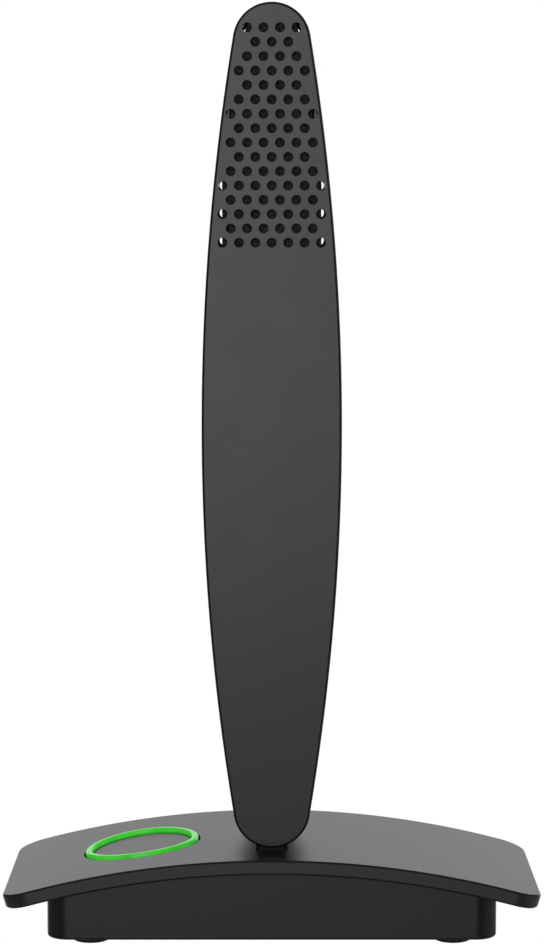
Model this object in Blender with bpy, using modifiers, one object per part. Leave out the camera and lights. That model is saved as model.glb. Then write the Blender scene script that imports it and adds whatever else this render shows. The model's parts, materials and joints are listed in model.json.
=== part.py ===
"""A desk microphone: an upright perforated head on a neck, on a bent metal base with a mute button.

Metres, +Z up, +X to the user's right, +Y away from the user. The origin is on the table, under the
middle of the base plate.
"""

import math

import bmesh
import bpy
from mathutils import Matrix, Vector

OBJECT_NAME = "usb_microphone"
CUTTER_COLLECTION = "usb_microphone_cutters"

# Fits that all pieces share
TOUCH_GAP = 0.0003  # left between faces that touch
CUT_OVERRUN = 0.001  # how far a cutter passes the face that it opens
MERGE_DISTANCE = 0.000003  # points closer than this are one point
SHARP_DEGREES = 35  # faces that meet at more than this keep their edge
ROUND_SIDES = 14  # round a pillar, a bore or a recess

# Base plate: flat metal plate bent to an arch, with its end faces square to the arch
PLATE_SPAN = 0.1338  # chord of the top face
PLATE_DEPTH = 0.0601
PLATE_THICKNESS = 0.0036
PLATE_RADIUS = 0.2362  # arch of the top face
PLATE_CORNER = 0.0068
CROWN_HEIGHT = 0.022  # top of the arch above the table
ARCH_STEPS = 20
CORNER_STEPS = 4

# Head: an upright slab whose face is a slim lens with round tips
HEAD_HEIGHT = 0.2083
HEAD_WIDTH = 0.03448
HEAD_DEPTH = 0.030
HEAD_TIP_RADIUS = 0.0095
HEAD_CENTRE_Y = -0.006
HEAD_LIFT = 0.00105  # lower tip above the plate's crown
SHELL_FACE = 0.0015
SHELL_WALL = 0.0009
TIP_STEPS = 14
SIDE_STEPS = 18

# Perforation: a triangular grid, as many holes in each row as the outline holds
HOLE_PITCH = 0.004
HOLE_DIAMETER = 0.00236
HOLE_EDGE = 0.0008  # least metal left beside a row's last hole
FIRST_ROW_DROP = 0.00619  # first row below the upper tip
HOLE_ROWS = 16
FIRST_ROW_COUNT = 4
HOLE_SIDES = 8

# Tongues of the front shell that line the rear one up, beside the seventh row of holes
RIB_ROW = 6
RIB_WIDTH = 0.0005
RIB_HEIGHT = 0.0032
RIB_REACH = 0.003  # past the seam, into the rear shell
RIB_WALL_SPACE = 0.00045  # from the shell's wall to the tongue

# Screw pillars inside the head, an upper and a lower pair
PILLAR_RADIUS = 0.0028
UPPER_PILLAR_X = 0.0095
UPPER_PILLAR_BELOW_ROWS = 0.0095  # under the last row of holes
LOWER_PILLAR_X = 0.0082
LOWER_PILLAR_LIFT = 0.037  # above the lower tip
PILLAR_RECESS_DEPTH = 0.009  # from the back face to the screw head's seat
PILLAR_RECESS_RADIUS = 0.0023
SHELL_SCREW_LENGTH = 0.0125

# Acoustic foam behind both perforated faces
FOAM_TOP_DROP = 0.0023  # the pad's top edge below the upper tip
FOAM_TOP_HALF_WIDTH = 0.0047
FOAM_HALF_WIDTH = 0.0124
FOAM_SLANT_SHARE = 0.336  # half width gained on the way down from the top edge
FOAM_WALL_SPACE = 0.0007  # from the front shell's wall, while the rear pad fills its shell
FOAM_THICKNESS = 0.0048
FOAM_BELOW_ROWS = 0.0035
FOAM_STEPS = 14

# Capsule in its rubber cradle
CAPSULE_RADIUS = 0.005
CAPSULE_LENGTH = 0.0085
CAPSULE_SIDES = 20
CAPSULE_BELOW_TOP = 0.028
CRADLE_WALL = 0.0016
CRADLE_LIP = 0.0006  # the cradle stands this far proud of the capsule

# Board in the head
HEAD_BOARD_WIDTH = 0.0100
HEAD_BOARD_THICKNESS = 0.0016
HEAD_BOARD_BACK_SPACE = 0.0046  # from the back shell's inner face
HEAD_BOARD_ABOVE_CAPSULE = 0.009
HEAD_BOARD_LIFT = 0.046  # its lower edge above the lower tip
HEAD_STANDOFF_RADIUS = 0.0021
HEAD_STANDOFF_BELOW_FOAM = 0.0118  # the upper standoff
LOW_STANDOFF_SHARE = 0.355  # from the board's lower edge to the upper standoff
CHIP_HEIGHT = 0.0011
CHIP_SIZE = 0.005
CONNECTOR_SIZE = (0.0062, 0.0042, 0.0046)

# Neck: a block from under the plate up into the head, with a foot that is screwed to the plate
NECK_WIDTH = 0.0072
NECK_RISE = 0.0165  # into the head, above the lower tip
NECK_FOOT_WIDTH = 0.022
NECK_FOOT_DEPTH = 0.036
NECK_FOOT_THICKNESS = 0.0024
NECK_BORE_RADIUS = 0.002
NECK_BORE_FRONT = 0.006  # bore's centre behind the neck's front face
NECK_SCREW_LIFTS = (0.0055, 0.0125)  # above the lower tip
NECK_SCREW_LENGTH = 0.0075
NECK_FOOT_SCREW_X = 0.0075
NECK_FOOT_SCREW_INSET = 0.0035  # from the foot's front and back edges
NECK_FOOT_SCREW_BITE = 0.0022  # into the plate

# Screws: small ones hold boards, large ones hold housings
SMALL_SHANK = 0.0008
SMALL_HEAD_RADIUS = 0.0017
SMALL_HEAD_HEIGHT = 0.0011
LARGE_SHANK = 0.0009
LARGE_HEAD_RADIUS = 0.002
LARGE_HEAD_HEIGHT = 0.0014
FLAT_HEAD_HEIGHT = 0.0008
SOCKET_RADIUS_SHARE = 0.5
SOCKET_DEPTH_SHARE = 0.5
SCREW_SIDES = 8

# Tray: the lower housing, open at the top, closed by the plate
TRAY_WIDTH = 0.1115
TRAY_DEPTH = 0.0569
TRAY_CORNER = 0.0055
TRAY_WALL = 0.002
TRAY_FLOOR = 0.002
TRAY_BOTTOM = 0.00167  # above the table

# Feet, each over the screw that holds the tray to the plate
FOOT_RADIUS = 0.00475
FOOT_END_INSET = 0.01075  # from the tray's end to a foot's centre
FOOT_SIDE_INSET = 0.00785  # from the tray's front or back to a foot's centre
FOOT_RECESS = 0.0008
FOOT_SIDES = 20
TRAY_PILLAR_RADIUS = 0.0034
TRAY_PILLAR_TOP = 0.0085  # above the table
TRAY_SCREW_SEAT = 0.0044  # above the table
PLATE_PILLAR_RADIUS = 0.0028
BASE_SCREW_BITE = 0.0035

# Steel ballast on the tray's floor
BALLAST_WIDTH = 0.079
BALLAST_DEPTH = 0.0188
BALLAST_THICKNESS = 0.0028
BALLAST_FRONT_SPACE = 0.001
BALLAST_PEG_RADIUS = 0.0016
BALLAST_PEG_X = 0.030

# Main board
BOARD_THICKNESS = 0.0016
MAIN_BOARD_WIDTH = 0.050
MAIN_BOARD_DEPTH = 0.0262
MAIN_BOARD_CENTRE_X = 0.008
MAIN_BOARD_BACK_SPACE = 0.0012
MAIN_BOARD_LIFT = 0.0025  # above the tray's floor
MAIN_BOARD_HOLE_INSET = 0.003
STANDOFF_RADIUS = 0.0022

# USB-C socket on the main board's back edge
SOCKET_WIDTH = 0.0090
SOCKET_HEIGHT = 0.0033
SOCKET_DEPTH = 0.0076
SOCKET_SHELL = 0.0003
SOCKET_POCKET = 0.0063
SOCKET_SINK = 0.0005  # its mouth inside the tray's back face
TONGUE_WIDTH = 0.0066
TONGUE_HEIGHT = 0.0007
TONGUE_LENGTH = 0.0045
PORT_MARGIN = 0.0003

# Mute button: cap, light ring round it and the switch's plunger, which move together
BUTTON_X = -0.0331
BUTTON_Y = -0.0015
RING_OUTER_RADIUS = 0.0145
RING_INNER_RADIUS = 0.0128
RING_STAND = 0.00095  # ring's top above the plate
RING_EDGE = 0.0006  # rounding of the ring's two top edges
RING_GROOVE = 0.0005  # between the ring and the plate
RING_FLANGE = 0.0014  # outside the ring, under the plate
RING_LEDGE = 0.0013  # inside the ring, under the cap
FLANGE_THICKNESS = 0.001
CAP_SINK = 0.00045  # cap's top below the plate's
CAP_THICKNESS = 0.0015
CAP_SKIRT = 0.0011
CAP_PIN_RADIUS = 0.0017
BUTTON_TRAVEL = 0.0008
RING_TURN_STEPS = 40
RING_EDGE_STEPS = 2
CAP_FACE_STEPS = 4

# Switch and its board, parallel to the plate under the button
SWITCH_SIZE = 0.0062
SWITCH_HEIGHT = 0.0031
PLUNGER_RADIUS = 0.0015
PLUNGER_STAND = 0.0012  # above the switch's body
PLUNGER_SINK = 0.0008  # inside the switch's body
BUTTON_BOARD_SIZE = 0.031
BUTTON_BOARD_THICKNESS = 0.0012
BUTTON_BOARD_HOLE_INSET = 0.002
BUTTON_BOSS_RADIUS = 0.002
LED_SIZE = 0.0016
LED_HEIGHT = 0.0007
LED_COUNT = 6

# Leads inside the product
HEAD_LEAD_RADIUS = 0.0011
BUTTON_LEAD_RADIUS = 0.0008
LEAD_STEPS = 4
LEAD_BEVEL_STEPS = 2

# Heights and places worked out from the sizes above
ARCH_CENTRE_Z = CROWN_HEIGHT - PLATE_RADIUS
UNDER_RADIUS = PLATE_RADIUS - PLATE_THICKNESS
HEAD_BOTTOM = CROWN_HEIGHT + HEAD_LIFT
HEAD_MIDDLE = HEAD_BOTTOM + HEAD_HEIGHT / 2
HEAD_TOP = HEAD_BOTTOM + HEAD_HEIGHT
HEAD_FRONT = HEAD_CENTRE_Y - HEAD_DEPTH / 2
HEAD_BACK = HEAD_CENTRE_Y + HEAD_DEPTH / 2
FRONT_INNER = HEAD_FRONT + SHELL_FACE
BACK_INNER = HEAD_BACK - SHELL_FACE
ROW_PITCH = HOLE_PITCH * math.sin(math.radians(60))
FIRST_ROW_Z = HEAD_TOP - FIRST_ROW_DROP
LAST_ROW_Z = FIRST_ROW_Z - (HOLE_ROWS - 1) * ROW_PITCH
RIB_Z = FIRST_ROW_Z - RIB_ROW * ROW_PITCH
FOAM_BOTTOM = LAST_ROW_Z - FOAM_BELOW_ROWS
FOAM_TOP = HEAD_TOP - FOAM_TOP_DROP
NECK_FRONT = FRONT_INNER + TOUCH_GAP
NECK_BACK = BACK_INNER - TOUCH_GAP
NECK_BORE_Y = NECK_FRONT + NECK_BORE_FRONT
FLOOR_TOP = TRAY_BOTTOM + TRAY_FLOOR
FOOT_X = TRAY_WIDTH / 2 - FOOT_END_INSET
FOOT_Y = TRAY_DEPTH / 2 - FOOT_SIDE_INSET
MAIN_BOARD_BOTTOM = FLOOR_TOP + MAIN_BOARD_LIFT
MAIN_BOARD_TOP = MAIN_BOARD_BOTTOM + BOARD_THICKNESS
MAIN_BOARD_BACK = TRAY_DEPTH / 2 - TRAY_WALL - MAIN_BOARD_BACK_SPACE
MAIN_BOARD_CENTRE_Y = MAIN_BOARD_BACK - MAIN_BOARD_DEPTH / 2
HEAD_BOARD_Y = BACK_INNER - HEAD_BOARD_BACK_SPACE - HEAD_BOARD_THICKNESS / 2
HEAD_BOARD_BOTTOM = HEAD_BOTTOM + HEAD_BOARD_LIFT
CAPSULE_Z = HEAD_TOP - CAPSULE_BELOW_TOP
HEAD_BOARD_TOP = CAPSULE_Z + HEAD_BOARD_ABOVE_CAPSULE
SMALL_PILOT = SMALL_SHANK + TOUCH_GAP
LARGE_PILOT = LARGE_SHANK + TOUCH_GAP


def arch_height(x, radius=PLATE_RADIUS):
    """Height above the table of the arch with this radius, x to the side of the crown."""
    return ARCH_CENTRE_Z + math.sqrt(radius**2 - x**2)


def arch_drop(reach):
    """How far the plate's underside falls below its own tangent, this far to the side."""
    return UNDER_RADIUS - math.sqrt(UNDER_RADIUS**2 - reach**2)


# Depths under the button, measured from the plate's top face along the button's axis
FLANGE_RADIUS = RING_OUTER_RADIUS + RING_FLANGE
FLANGE_TOP = -(PLATE_THICKNESS + arch_drop(FLANGE_RADIUS) + TOUCH_GAP)
FLANGE_BOTTOM = FLANGE_TOP - FLANGE_THICKNESS
BUTTON_BOARD_TOP = FLANGE_BOTTOM - BUTTON_TRAVEL - TOUCH_GAP - LED_HEIGHT - TOUCH_GAP
SWITCH_BOTTOM = BUTTON_BOARD_TOP + TOUCH_GAP
SWITCH_TOP = SWITCH_BOTTOM + SWITCH_HEIGHT
PLUNGER_TOP = SWITCH_TOP + PLUNGER_STAND
PLUNGER_BOTTOM = SWITCH_TOP - PLUNGER_SINK
CAP_PIN_BOTTOM = PLUNGER_TOP + TOUCH_GAP
BUTTON_HOLE_AT = BUTTON_BOARD_SIZE / 2 - BUTTON_BOARD_HOLE_INSET
BUTTON_HOLES = ((1, -1), (-1, 1), (1, 1))
FOOT_CORNERS = ((-1, -1), (1, -1), (1, 1), (-1, 1))
BOARD_SCREW_CORNERS = ((-1, 1), (1, -1))


def button_frame():
    """Places things on the plate's top face at the button, with +Z out of the face."""
    place = Matrix.Translation((BUTTON_X, BUTTON_Y, arch_height(BUTTON_X)))
    return place @ Matrix.Rotation(math.asin(BUTTON_X / PLATE_RADIUS), 4, "Y")


# Materials: name, colour, roughness, metallic
FINISHES = {
    "black_shell": ((0.028, 0.028, 0.029), 0.48, 0.0),
    "black_plate": ((0.045, 0.045, 0.046), 0.42, 0.35),
    "black_tray": ((0.022, 0.022, 0.023), 0.55, 0.0),
    "black_foam": ((0.010, 0.010, 0.010), 0.95, 0.0),
    "black_rubber": ((0.015, 0.015, 0.015), 0.85, 0.0),
    "green_light": ((0.030, 0.520, 0.030), 0.35, 0.0),
    "steel": ((0.520, 0.520, 0.520), 0.32, 1.0),
    "capsule_metal": ((0.620, 0.610, 0.580), 0.28, 1.0),
    "green_board": ((0.015, 0.110, 0.045), 0.45, 0.0),
    "chip": ((0.020, 0.020, 0.022), 0.50, 0.0),
    "white_part": ((0.780, 0.770, 0.720), 0.40, 0.0),
    "lead": ((0.030, 0.030, 0.030), 0.60, 0.0),
}


def material(name):
    """The material with this name, made on first use."""
    found = bpy.data.materials.get(name)
    if found:
        return found
    colour, roughness, metallic = FINISHES[name]
    made = bpy.data.materials.new(name)
    made.use_nodes = True
    shader = made.node_tree.nodes["Principled BSDF"]
    shader.inputs["Base Color"].default_value = (*colour, 1)
    shader.inputs["Roughness"].default_value = roughness
    shader.inputs["Metallic"].default_value = metallic
    return made


def new_collection(name):
    """An empty collection in the scene."""
    made = bpy.data.collections.new(name)
    bpy.context.scene.collection.children.link(made)
    return made


def clear_scene():
    """Removes the objects that the file starts with."""
    for found in list(bpy.data.objects):
        bpy.data.objects.remove(found)


def add_piece(name, mesh, finish, parent=None):
    """A sub-part of the product with its own name and finish."""
    piece = bpy.data.objects.new(name, mesh)
    mesh.name = name
    mesh.materials.clear()
    mesh.materials.append(material(finish))
    bpy.data.collections[OBJECT_NAME].objects.link(piece)
    piece.parent = parent
    return piece


def shade_round(piece):
    """Smooth shading with the sharp edges kept."""
    piece.data.shade_smooth()
    piece.data.set_sharp_from_angle(angle=math.radians(SHARP_DEGREES))
    return piece


def add_tool(name, mesh, parent=None):
    """A solid that cuts or joins another piece and isn't part of the product."""
    tool = bpy.data.objects.new(name, mesh)
    bpy.data.collections[CUTTER_COLLECTION].objects.link(tool)
    tool.hide_render = True
    tool.display_type = "WIRE"
    tool.parent = parent
    return tool


def combine(piece, tool, operation):
    """Cuts or joins the piece with a tool solid."""
    change = piece.modifiers.new(tool.name, "BOOLEAN")
    change.operation = operation
    change.solver = "EXACT"
    change.object = tool


def finished_mesh(bm, name):
    """The bmesh as a mesh with its faces pointing out."""
    bm.normal_update()
    bmesh.ops.recalc_face_normals(bm, faces=bm.faces)
    mesh = bpy.data.meshes.new(name)
    bm.to_mesh(mesh)
    bm.free()
    return mesh


def box_mesh(name, low, high):
    """A box between two corners."""
    low, high = Vector(low), Vector(high)
    bm = bmesh.new()
    bmesh.ops.create_cube(bm, size=1)
    bm.transform(Matrix.Translation((low + high) / 2) @ Matrix.Diagonal((*(high - low), 1)))
    return finished_mesh(bm, name)


def rod_mesh(name, start, end, radius, sides=SCREW_SIDES):
    """A cylinder from one point to another."""
    start, end = Vector(start), Vector(end)
    along = end - start
    turn = along.to_track_quat("Z", "Y").to_matrix().to_4x4()
    bm = bmesh.new()
    bmesh.ops.create_cone(
        bm, cap_ends=True, segments=sides, radius1=radius, radius2=radius, depth=along.length
    )
    bm.transform(Matrix.Translation((start + end) / 2) @ turn)
    return finished_mesh(bm, name)


def joined_mesh(name, meshes):
    """Separate solids in one mesh."""
    bm = bmesh.new()
    for part in meshes:
        bm.from_mesh(part)
    return finished_mesh(bm, name)


def add_copies(name, mesh, places, finish, parent=None):
    """The same small piece at each place, as sub-parts numbered from 1."""
    for number, place in enumerate(places, 1):
        piece = add_piece(f"{name}_{number}", mesh, finish, parent)
        shade_round(piece)
        piece.matrix_local = place


def mesh_of(maker):
    """The mesh that an object's modifiers or curve settings make. The object is removed."""
    bpy.context.scene.collection.objects.link(maker)
    bpy.context.view_layer.update()
    evaluated = maker.evaluated_get(bpy.context.evaluated_depsgraph_get())
    mesh = bpy.data.meshes.new_from_object(evaluated)
    bpy.data.objects.remove(maker)
    bm = bmesh.new()
    bm.from_mesh(mesh)
    bmesh.ops.remove_doubles(bm, verts=bm.verts, dist=MERGE_DISTANCE)
    return finished_mesh(bm, "shape")


def turned_mesh(profile, steps, closed=False):
    """A profile of (radius, height) turned about the Z axis. It runs down its outer side."""
    mesh = bpy.data.meshes.new("profile")
    count = len(profile)
    edges = [(i, i + 1) for i in range(count - 1)]
    if closed:
        edges.append((count - 1, 0))
    mesh.from_pydata([(r, 0, z) for r, z in profile], edges, [])
    maker = bpy.data.objects.new("profile", mesh)
    turn = maker.modifiers.new("turn", "SCREW")
    turn.axis = "Z"
    turn.steps = steps
    turn.render_steps = steps
    turn.use_merge_vertices = True
    turn.merge_threshold = MERGE_DISTANCE
    return mesh_of(maker)


def flat_mesh(outlines, thickness):
    """Closed outlines in the XY plane, the inner ones holes, as a plate centred on the plane."""
    curve = bpy.data.curves.new("outline", "CURVE")
    curve.dimensions = "2D"
    curve.fill_mode = "BOTH"
    curve.extrude = thickness / 2
    for outline in outlines:
        spline = curve.splines.new("POLY")
        spline.points.add(len(outline) - 1)
        spline.use_cyclic_u = True
        for point, (x, y) in zip(spline.points, outline):
            point.co = (x, y, 0, 1)
    return mesh_of(bpy.data.objects.new("outline", curve))


def upright_mesh(outlines, front, back):
    """Outlines in (x, z) as a plate that stands upright, from front to back along Y."""
    mesh = flat_mesh(outlines, back - front)
    place = Matrix.Translation((0, (front + back) / 2, 0))
    mesh.transform(place @ Matrix.Rotation(math.radians(90), 4, "X"))
    return mesh


def level_mesh(outlines, bottom, top):
    """Outlines in (x, y) as a plate that lies level, from bottom to top along Z."""
    mesh = flat_mesh(outlines, top - bottom)
    mesh.transform(Matrix.Translation((0, 0, (bottom + top) / 2)))
    return mesh


def circle(x, y, radius, steps):
    """Points round a circle."""
    turns = [2 * math.pi * i / steps for i in range(steps)]
    return [(x + radius * math.cos(t), y + radius * math.sin(t)) for t in turns]


def rounded_rectangle(width, depth, corner, steps=CORNER_STEPS):
    """Points round a rectangle with round corners, centred on the origin."""
    points = []
    for quarter, (sx, sy) in enumerate(((1, 1), (-1, 1), (-1, -1), (1, -1))):
        for i in range(steps + 1):
            t = math.pi / 2 * (quarter + i / steps)
            x = sx * (width / 2 - corner) + corner * math.cos(t)
            y = sy * (depth / 2 - corner) + corner * math.sin(t)
            points.append((x, y))
    return points


def smooth_route(points):
    """Points along a smooth curve through a route's own points."""
    points = [Vector(p) for p in points]
    ends = [2 * points[0] - points[1], *points, 2 * points[-1] - points[-2]]
    route = []
    for a, b, c, d in zip(ends, ends[1:], ends[2:], ends[3:]):
        for i in range(LEAD_STEPS):
            t = i / LEAD_STEPS
            along = (c - a) * t + (2 * a - 5 * b + 4 * c - d) * t**2
            route.append(b + (along + (3 * b - a - 3 * c + d) * t**3) / 2)
    return [*route, points[-1]]


def lead_mesh(points, radius):
    """A round lead along a smooth route."""
    curve = bpy.data.curves.new("lead", "CURVE")
    curve.dimensions = "3D"
    curve.bevel_depth = radius
    curve.bevel_resolution = LEAD_BEVEL_STEPS
    curve.use_fill_caps = True
    route = smooth_route(points)
    spline = curve.splines.new("POLY")
    spline.points.add(len(route) - 1)
    for point, place in zip(spline.points, route):
        point.co = (*place, 1)
    return mesh_of(bpy.data.objects.new("lead", curve))


def screw_mesh(shank, length, head_radius, head_height):
    """A screw with its head's underside at the origin and its shank along -Z."""
    socket = head_radius * SOCKET_RADIUS_SHARE
    socket_floor = head_height * (1 - SOCKET_DEPTH_SHARE)
    profile = [
        (0, socket_floor),
        (socket, socket_floor),
        (socket, head_height),
        (head_radius, head_height),
        (head_radius, 0),
        (shank, 0),
        (shank, -length),
        (0, -length),
    ]
    return turned_mesh(profile, SCREW_SIDES)


def toward(direction):
    """Turns +Z to point along a direction."""
    return Vector(direction).to_track_quat("Z", "Y").to_matrix().to_4x4()


# Head outline

def head_side_radius():
    """Radius of the two side arcs, which touch the round tips."""
    half_height, half_width = HEAD_HEIGHT / 2, HEAD_WIDTH / 2
    tip_height = half_height - HEAD_TIP_RADIUS
    chord = half_width**2 - HEAD_TIP_RADIUS**2 + tip_height**2
    return chord / (2 * (half_width - HEAD_TIP_RADIUS))


def head_tip_angle():
    """Angle above the horizontal at which a side arc meets a tip."""
    rise = HEAD_HEIGHT / 2 - HEAD_TIP_RADIUS
    return math.asin(rise / (head_side_radius() - HEAD_TIP_RADIUS))


def head_half_width(z, inset=0.0):
    """Half of the head's width at a height above the table, inside its outline by inset."""
    height = abs(z - HEAD_MIDDLE)
    tip_centre = HEAD_HEIGHT / 2 - HEAD_TIP_RADIUS
    tip_radius = HEAD_TIP_RADIUS - inset
    if height > tip_centre + tip_radius * math.sin(head_tip_angle()):
        return math.sqrt(max(tip_radius**2 - (height - tip_centre) ** 2, 0))
    side = head_side_radius()
    return math.sqrt((side - inset) ** 2 - height**2) - (side - HEAD_WIDTH / 2)


def head_outline(inset=0.0):
    """Points round the head's face in (x, z), inside its outline by inset."""
    side, angle = head_side_radius(), head_tip_angle()
    side_centre = side - HEAD_WIDTH / 2
    tip_centre = HEAD_HEIGHT / 2 - HEAD_TIP_RADIUS
    quarter = []
    for i in range(SIDE_STEPS // 2 + 1):
        t = angle * 2 * i / SIDE_STEPS
        radius = side - inset
        quarter.append((radius * math.cos(t) - side_centre, radius * math.sin(t)))
    for i in range(1, TIP_STEPS // 2 + 1):
        t = angle + (math.pi / 2 - angle) * 2 * i / TIP_STEPS
        radius = HEAD_TIP_RADIUS - inset
        quarter.append((radius * math.cos(t), tip_centre + radius * math.sin(t)))
    upper = quarter + [(-x, z) for x, z in reversed(quarter[:-1])]
    lower = [(x, -z) for x, z in reversed(upper[1:-1])]
    return [(x, HEAD_MIDDLE + z) for x, z in upper + lower]


def hole_places():
    """Centres in (x, z) of the holes in a face, row by row from the top."""
    places = []
    for row in range(HOLE_ROWS):
        z = FIRST_ROW_Z - row * ROW_PITCH
        room = head_half_width(z) - HOLE_EDGE - HOLE_DIAMETER / 2
        parity = (FIRST_ROW_COUNT + row) % 2
        count = 2 * int((2 * room / HOLE_PITCH + 1 - parity) / 2) + parity
        places += [((i - (count - 1) / 2) * HOLE_PITCH, z) for i in range(count)]
    return places


# Head pieces

def pillar_places():
    """Centres in (x, z) of the screw pillars that join the two shells."""
    upper = LAST_ROW_Z - UPPER_PILLAR_BELOW_ROWS
    lower = HEAD_BOTTOM + LOWER_PILLAR_LIFT
    return [
        (side * x, z)
        for x, z in ((UPPER_PILLAR_X, upper), (LOWER_PILLAR_X, lower))
        for side in (-1, 1)
    ]


def rib_inner_x():
    """How far to the side of the middle the inner face of a tongue is."""
    return head_half_width(RIB_Z, SHELL_WALL) - RIB_WALL_SPACE - RIB_WIDTH


def head_standoffs():
    """Centres in (x, z) of the board's standoffs on the back shell."""
    upper = FOAM_BOTTOM - HEAD_STANDOFF_BELOW_FOAM
    lower = HEAD_BOARD_BOTTOM + LOW_STANDOFF_SHARE * (upper - HEAD_BOARD_BOTTOM)
    return [(0, lower), (0, upper)]


def half_head(name, outer, seam, face_inner):
    """One half of the head's shell: a perforated face with a wall round it."""
    shell = add_piece(name, upright_mesh([head_outline()], *sorted((outer, seam))), "black_shell")
    inward = 1 if seam > outer else -1
    past_seam = seam + inward * CUT_OVERRUN
    cavity = upright_mesh([head_outline(SHELL_WALL)], *sorted((face_inner, past_seam)))
    combine(shell, add_tool(name + "_cavity", cavity), "DIFFERENCE")

    in_face = face_inner - inward * SHELL_FACE / 2
    joins = []
    for x, z in pillar_places():
        joins.append(rod_mesh("pillar", (x, in_face, z), (x, seam, z), PILLAR_RADIUS, ROUND_SIDES))
    return shell, joins, in_face


def finish_shell(shell, joins, cuts):
    """Joins the inner features to a shell half, then makes all its cuts."""
    combine(shell, add_tool(shell.name + "_inside", joined_mesh("inside", joins)), "UNION")
    combine(shell, add_tool(shell.name + "_cuts", joined_mesh("cuts", cuts)), "DIFFERENCE")
    return shade_round(shell)


def face_cuts(outer, inner, seam):
    """The holes through a face and the slot for the neck through the wall under it."""
    ends = sorted((outer, inner))
    low_y, high_y = ends[0] - CUT_OVERRUN, ends[1] + CUT_OVERRUN
    cuts = [
        rod_mesh("hole", (x, low_y, z), (x, high_y, z), HOLE_DIAMETER / 2, HOLE_SIDES)
        for x, z in hole_places()
    ]
    half = NECK_WIDTH / 2 + TOUCH_GAP
    past_seam = seam + (CUT_OVERRUN if seam > inner else -CUT_OVERRUN)
    slot = sorted((inner, past_seam))
    low = (-half, slot[0], HEAD_BOTTOM - CUT_OVERRUN)
    high = (half, slot[1], HEAD_BOTTOM + HEAD_TIP_RADIUS / 2)
    cuts.append(box_mesh("neck_slot", low, high))
    return cuts


def make_front_shell():
    """The half of the head that the user sees, with its two tongues."""
    seam = HEAD_CENTRE_Y - TOUCH_GAP / 2
    shell, joins, in_face = half_head("head_front_shell", HEAD_FRONT, seam, FRONT_INNER)
    for side in (-1, 1):
        ends = sorted((side * rib_inner_x(), side * (rib_inner_x() + RIB_WIDTH)))
        low = (ends[0], in_face, RIB_Z - RIB_HEIGHT / 2)
        high = (ends[1], seam + RIB_REACH, RIB_Z + RIB_HEIGHT / 2)
        joins.append(box_mesh("rib", low, high))
    cuts = face_cuts(HEAD_FRONT, FRONT_INNER, seam)
    seat = HEAD_BACK - PILLAR_RECESS_DEPTH
    tip = seat - SHELL_SCREW_LENGTH - TOUCH_GAP
    for x, z in pillar_places():
        cuts.append(rod_mesh("pilot", (x, tip, z), (x, seam + CUT_OVERRUN, z), LARGE_PILOT))
    return finish_shell(shell, joins, cuts)


def make_rear_shell():
    """The back half of the head, with screw recesses and standoffs for the board."""
    seam = HEAD_CENTRE_Y + TOUCH_GAP / 2
    shell, joins, in_face = half_head("head_rear_shell", HEAD_BACK, seam, BACK_INNER)
    standoff_end = HEAD_BOARD_Y + HEAD_BOARD_THICKNESS / 2 + TOUCH_GAP
    for x, z in head_standoffs():
        start, end = (x, in_face, z), (x, standoff_end, z)
        joins.append(rod_mesh("standoff", start, end, HEAD_STANDOFF_RADIUS))
    cuts = face_cuts(HEAD_BACK, BACK_INNER, seam)
    past = HEAD_BACK + CUT_OVERRUN
    seat = HEAD_BACK - PILLAR_RECESS_DEPTH
    for x, z in pillar_places():
        cuts.append(rod_mesh("recess", (x, seat, z), (x, past, z), PILLAR_RECESS_RADIUS, ROUND_SIDES))
    for x, z in head_standoffs():
        start, end = (x, standoff_end - CUT_OVERRUN, z), (x, BACK_INNER, z)
        cuts.append(rod_mesh("pilot", start, end, SMALL_PILOT))
    flat_seat = HEAD_BACK - FLAT_HEAD_HEIGHT - TOUCH_GAP / 2
    for lift in NECK_SCREW_LIFTS:
        z = HEAD_BOTTOM + lift
        radius = LARGE_HEAD_RADIUS + TOUCH_GAP
        cuts.append(rod_mesh("flat_recess", (0, flat_seat, z), (0, past, z), radius, ROUND_SIDES))
    finish_shell(shell, joins, cuts)
    through = []
    for x, z in pillar_places():
        start = (x, seam - CUT_OVERRUN, z)
        through.append(rod_mesh("through", start, (x, seat + CUT_OVERRUN, z), LARGE_PILOT))
    for lift in NECK_SCREW_LIFTS:
        z = HEAD_BOTTOM + lift
        start = (0, BACK_INNER - CUT_OVERRUN, z)
        through.append(rod_mesh("through", start, (0, past, z), LARGE_PILOT))
    tool = add_tool("head_rear_shell_through", joined_mesh("through", through))
    combine(shell, tool, "DIFFERENCE")
    return shell


def foam_reach(z, wall_space):
    """Half of a pad's width at a height above the table."""
    inside = head_half_width(z, SHELL_WALL + wall_space)
    slanted = FOAM_TOP_HALF_WIDTH + (FOAM_TOP - z) * FOAM_SLANT_SHARE
    return min(inside, slanted, FOAM_HALF_WIDTH)


def foam_outline(wall_space, notched):
    """Points in (x, z) round a pad, this far inside the wall. A notched pad clears the tongues."""
    heights = [FOAM_BOTTOM + (FOAM_TOP - FOAM_BOTTOM) * i / FOAM_STEPS for i in range(FOAM_STEPS + 1)]
    side = [(foam_reach(z, wall_space), z) for z in heights]
    if notched:
        low = RIB_Z - RIB_HEIGHT / 2 - TOUCH_GAP
        high = RIB_Z + RIB_HEIGHT / 2 + TOUCH_GAP
        notch = rib_inner_x() - TOUCH_GAP
        below = [point for point in side if point[1] < low - TOUCH_GAP]
        above = [point for point in side if point[1] > high + TOUCH_GAP]
        below += [(foam_reach(low, wall_space), low), (notch, low)]
        side = below + [(notch, high), (foam_reach(high, wall_space), high)] + above
    return side + [(-x, z) for x, z in reversed(side)]


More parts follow.
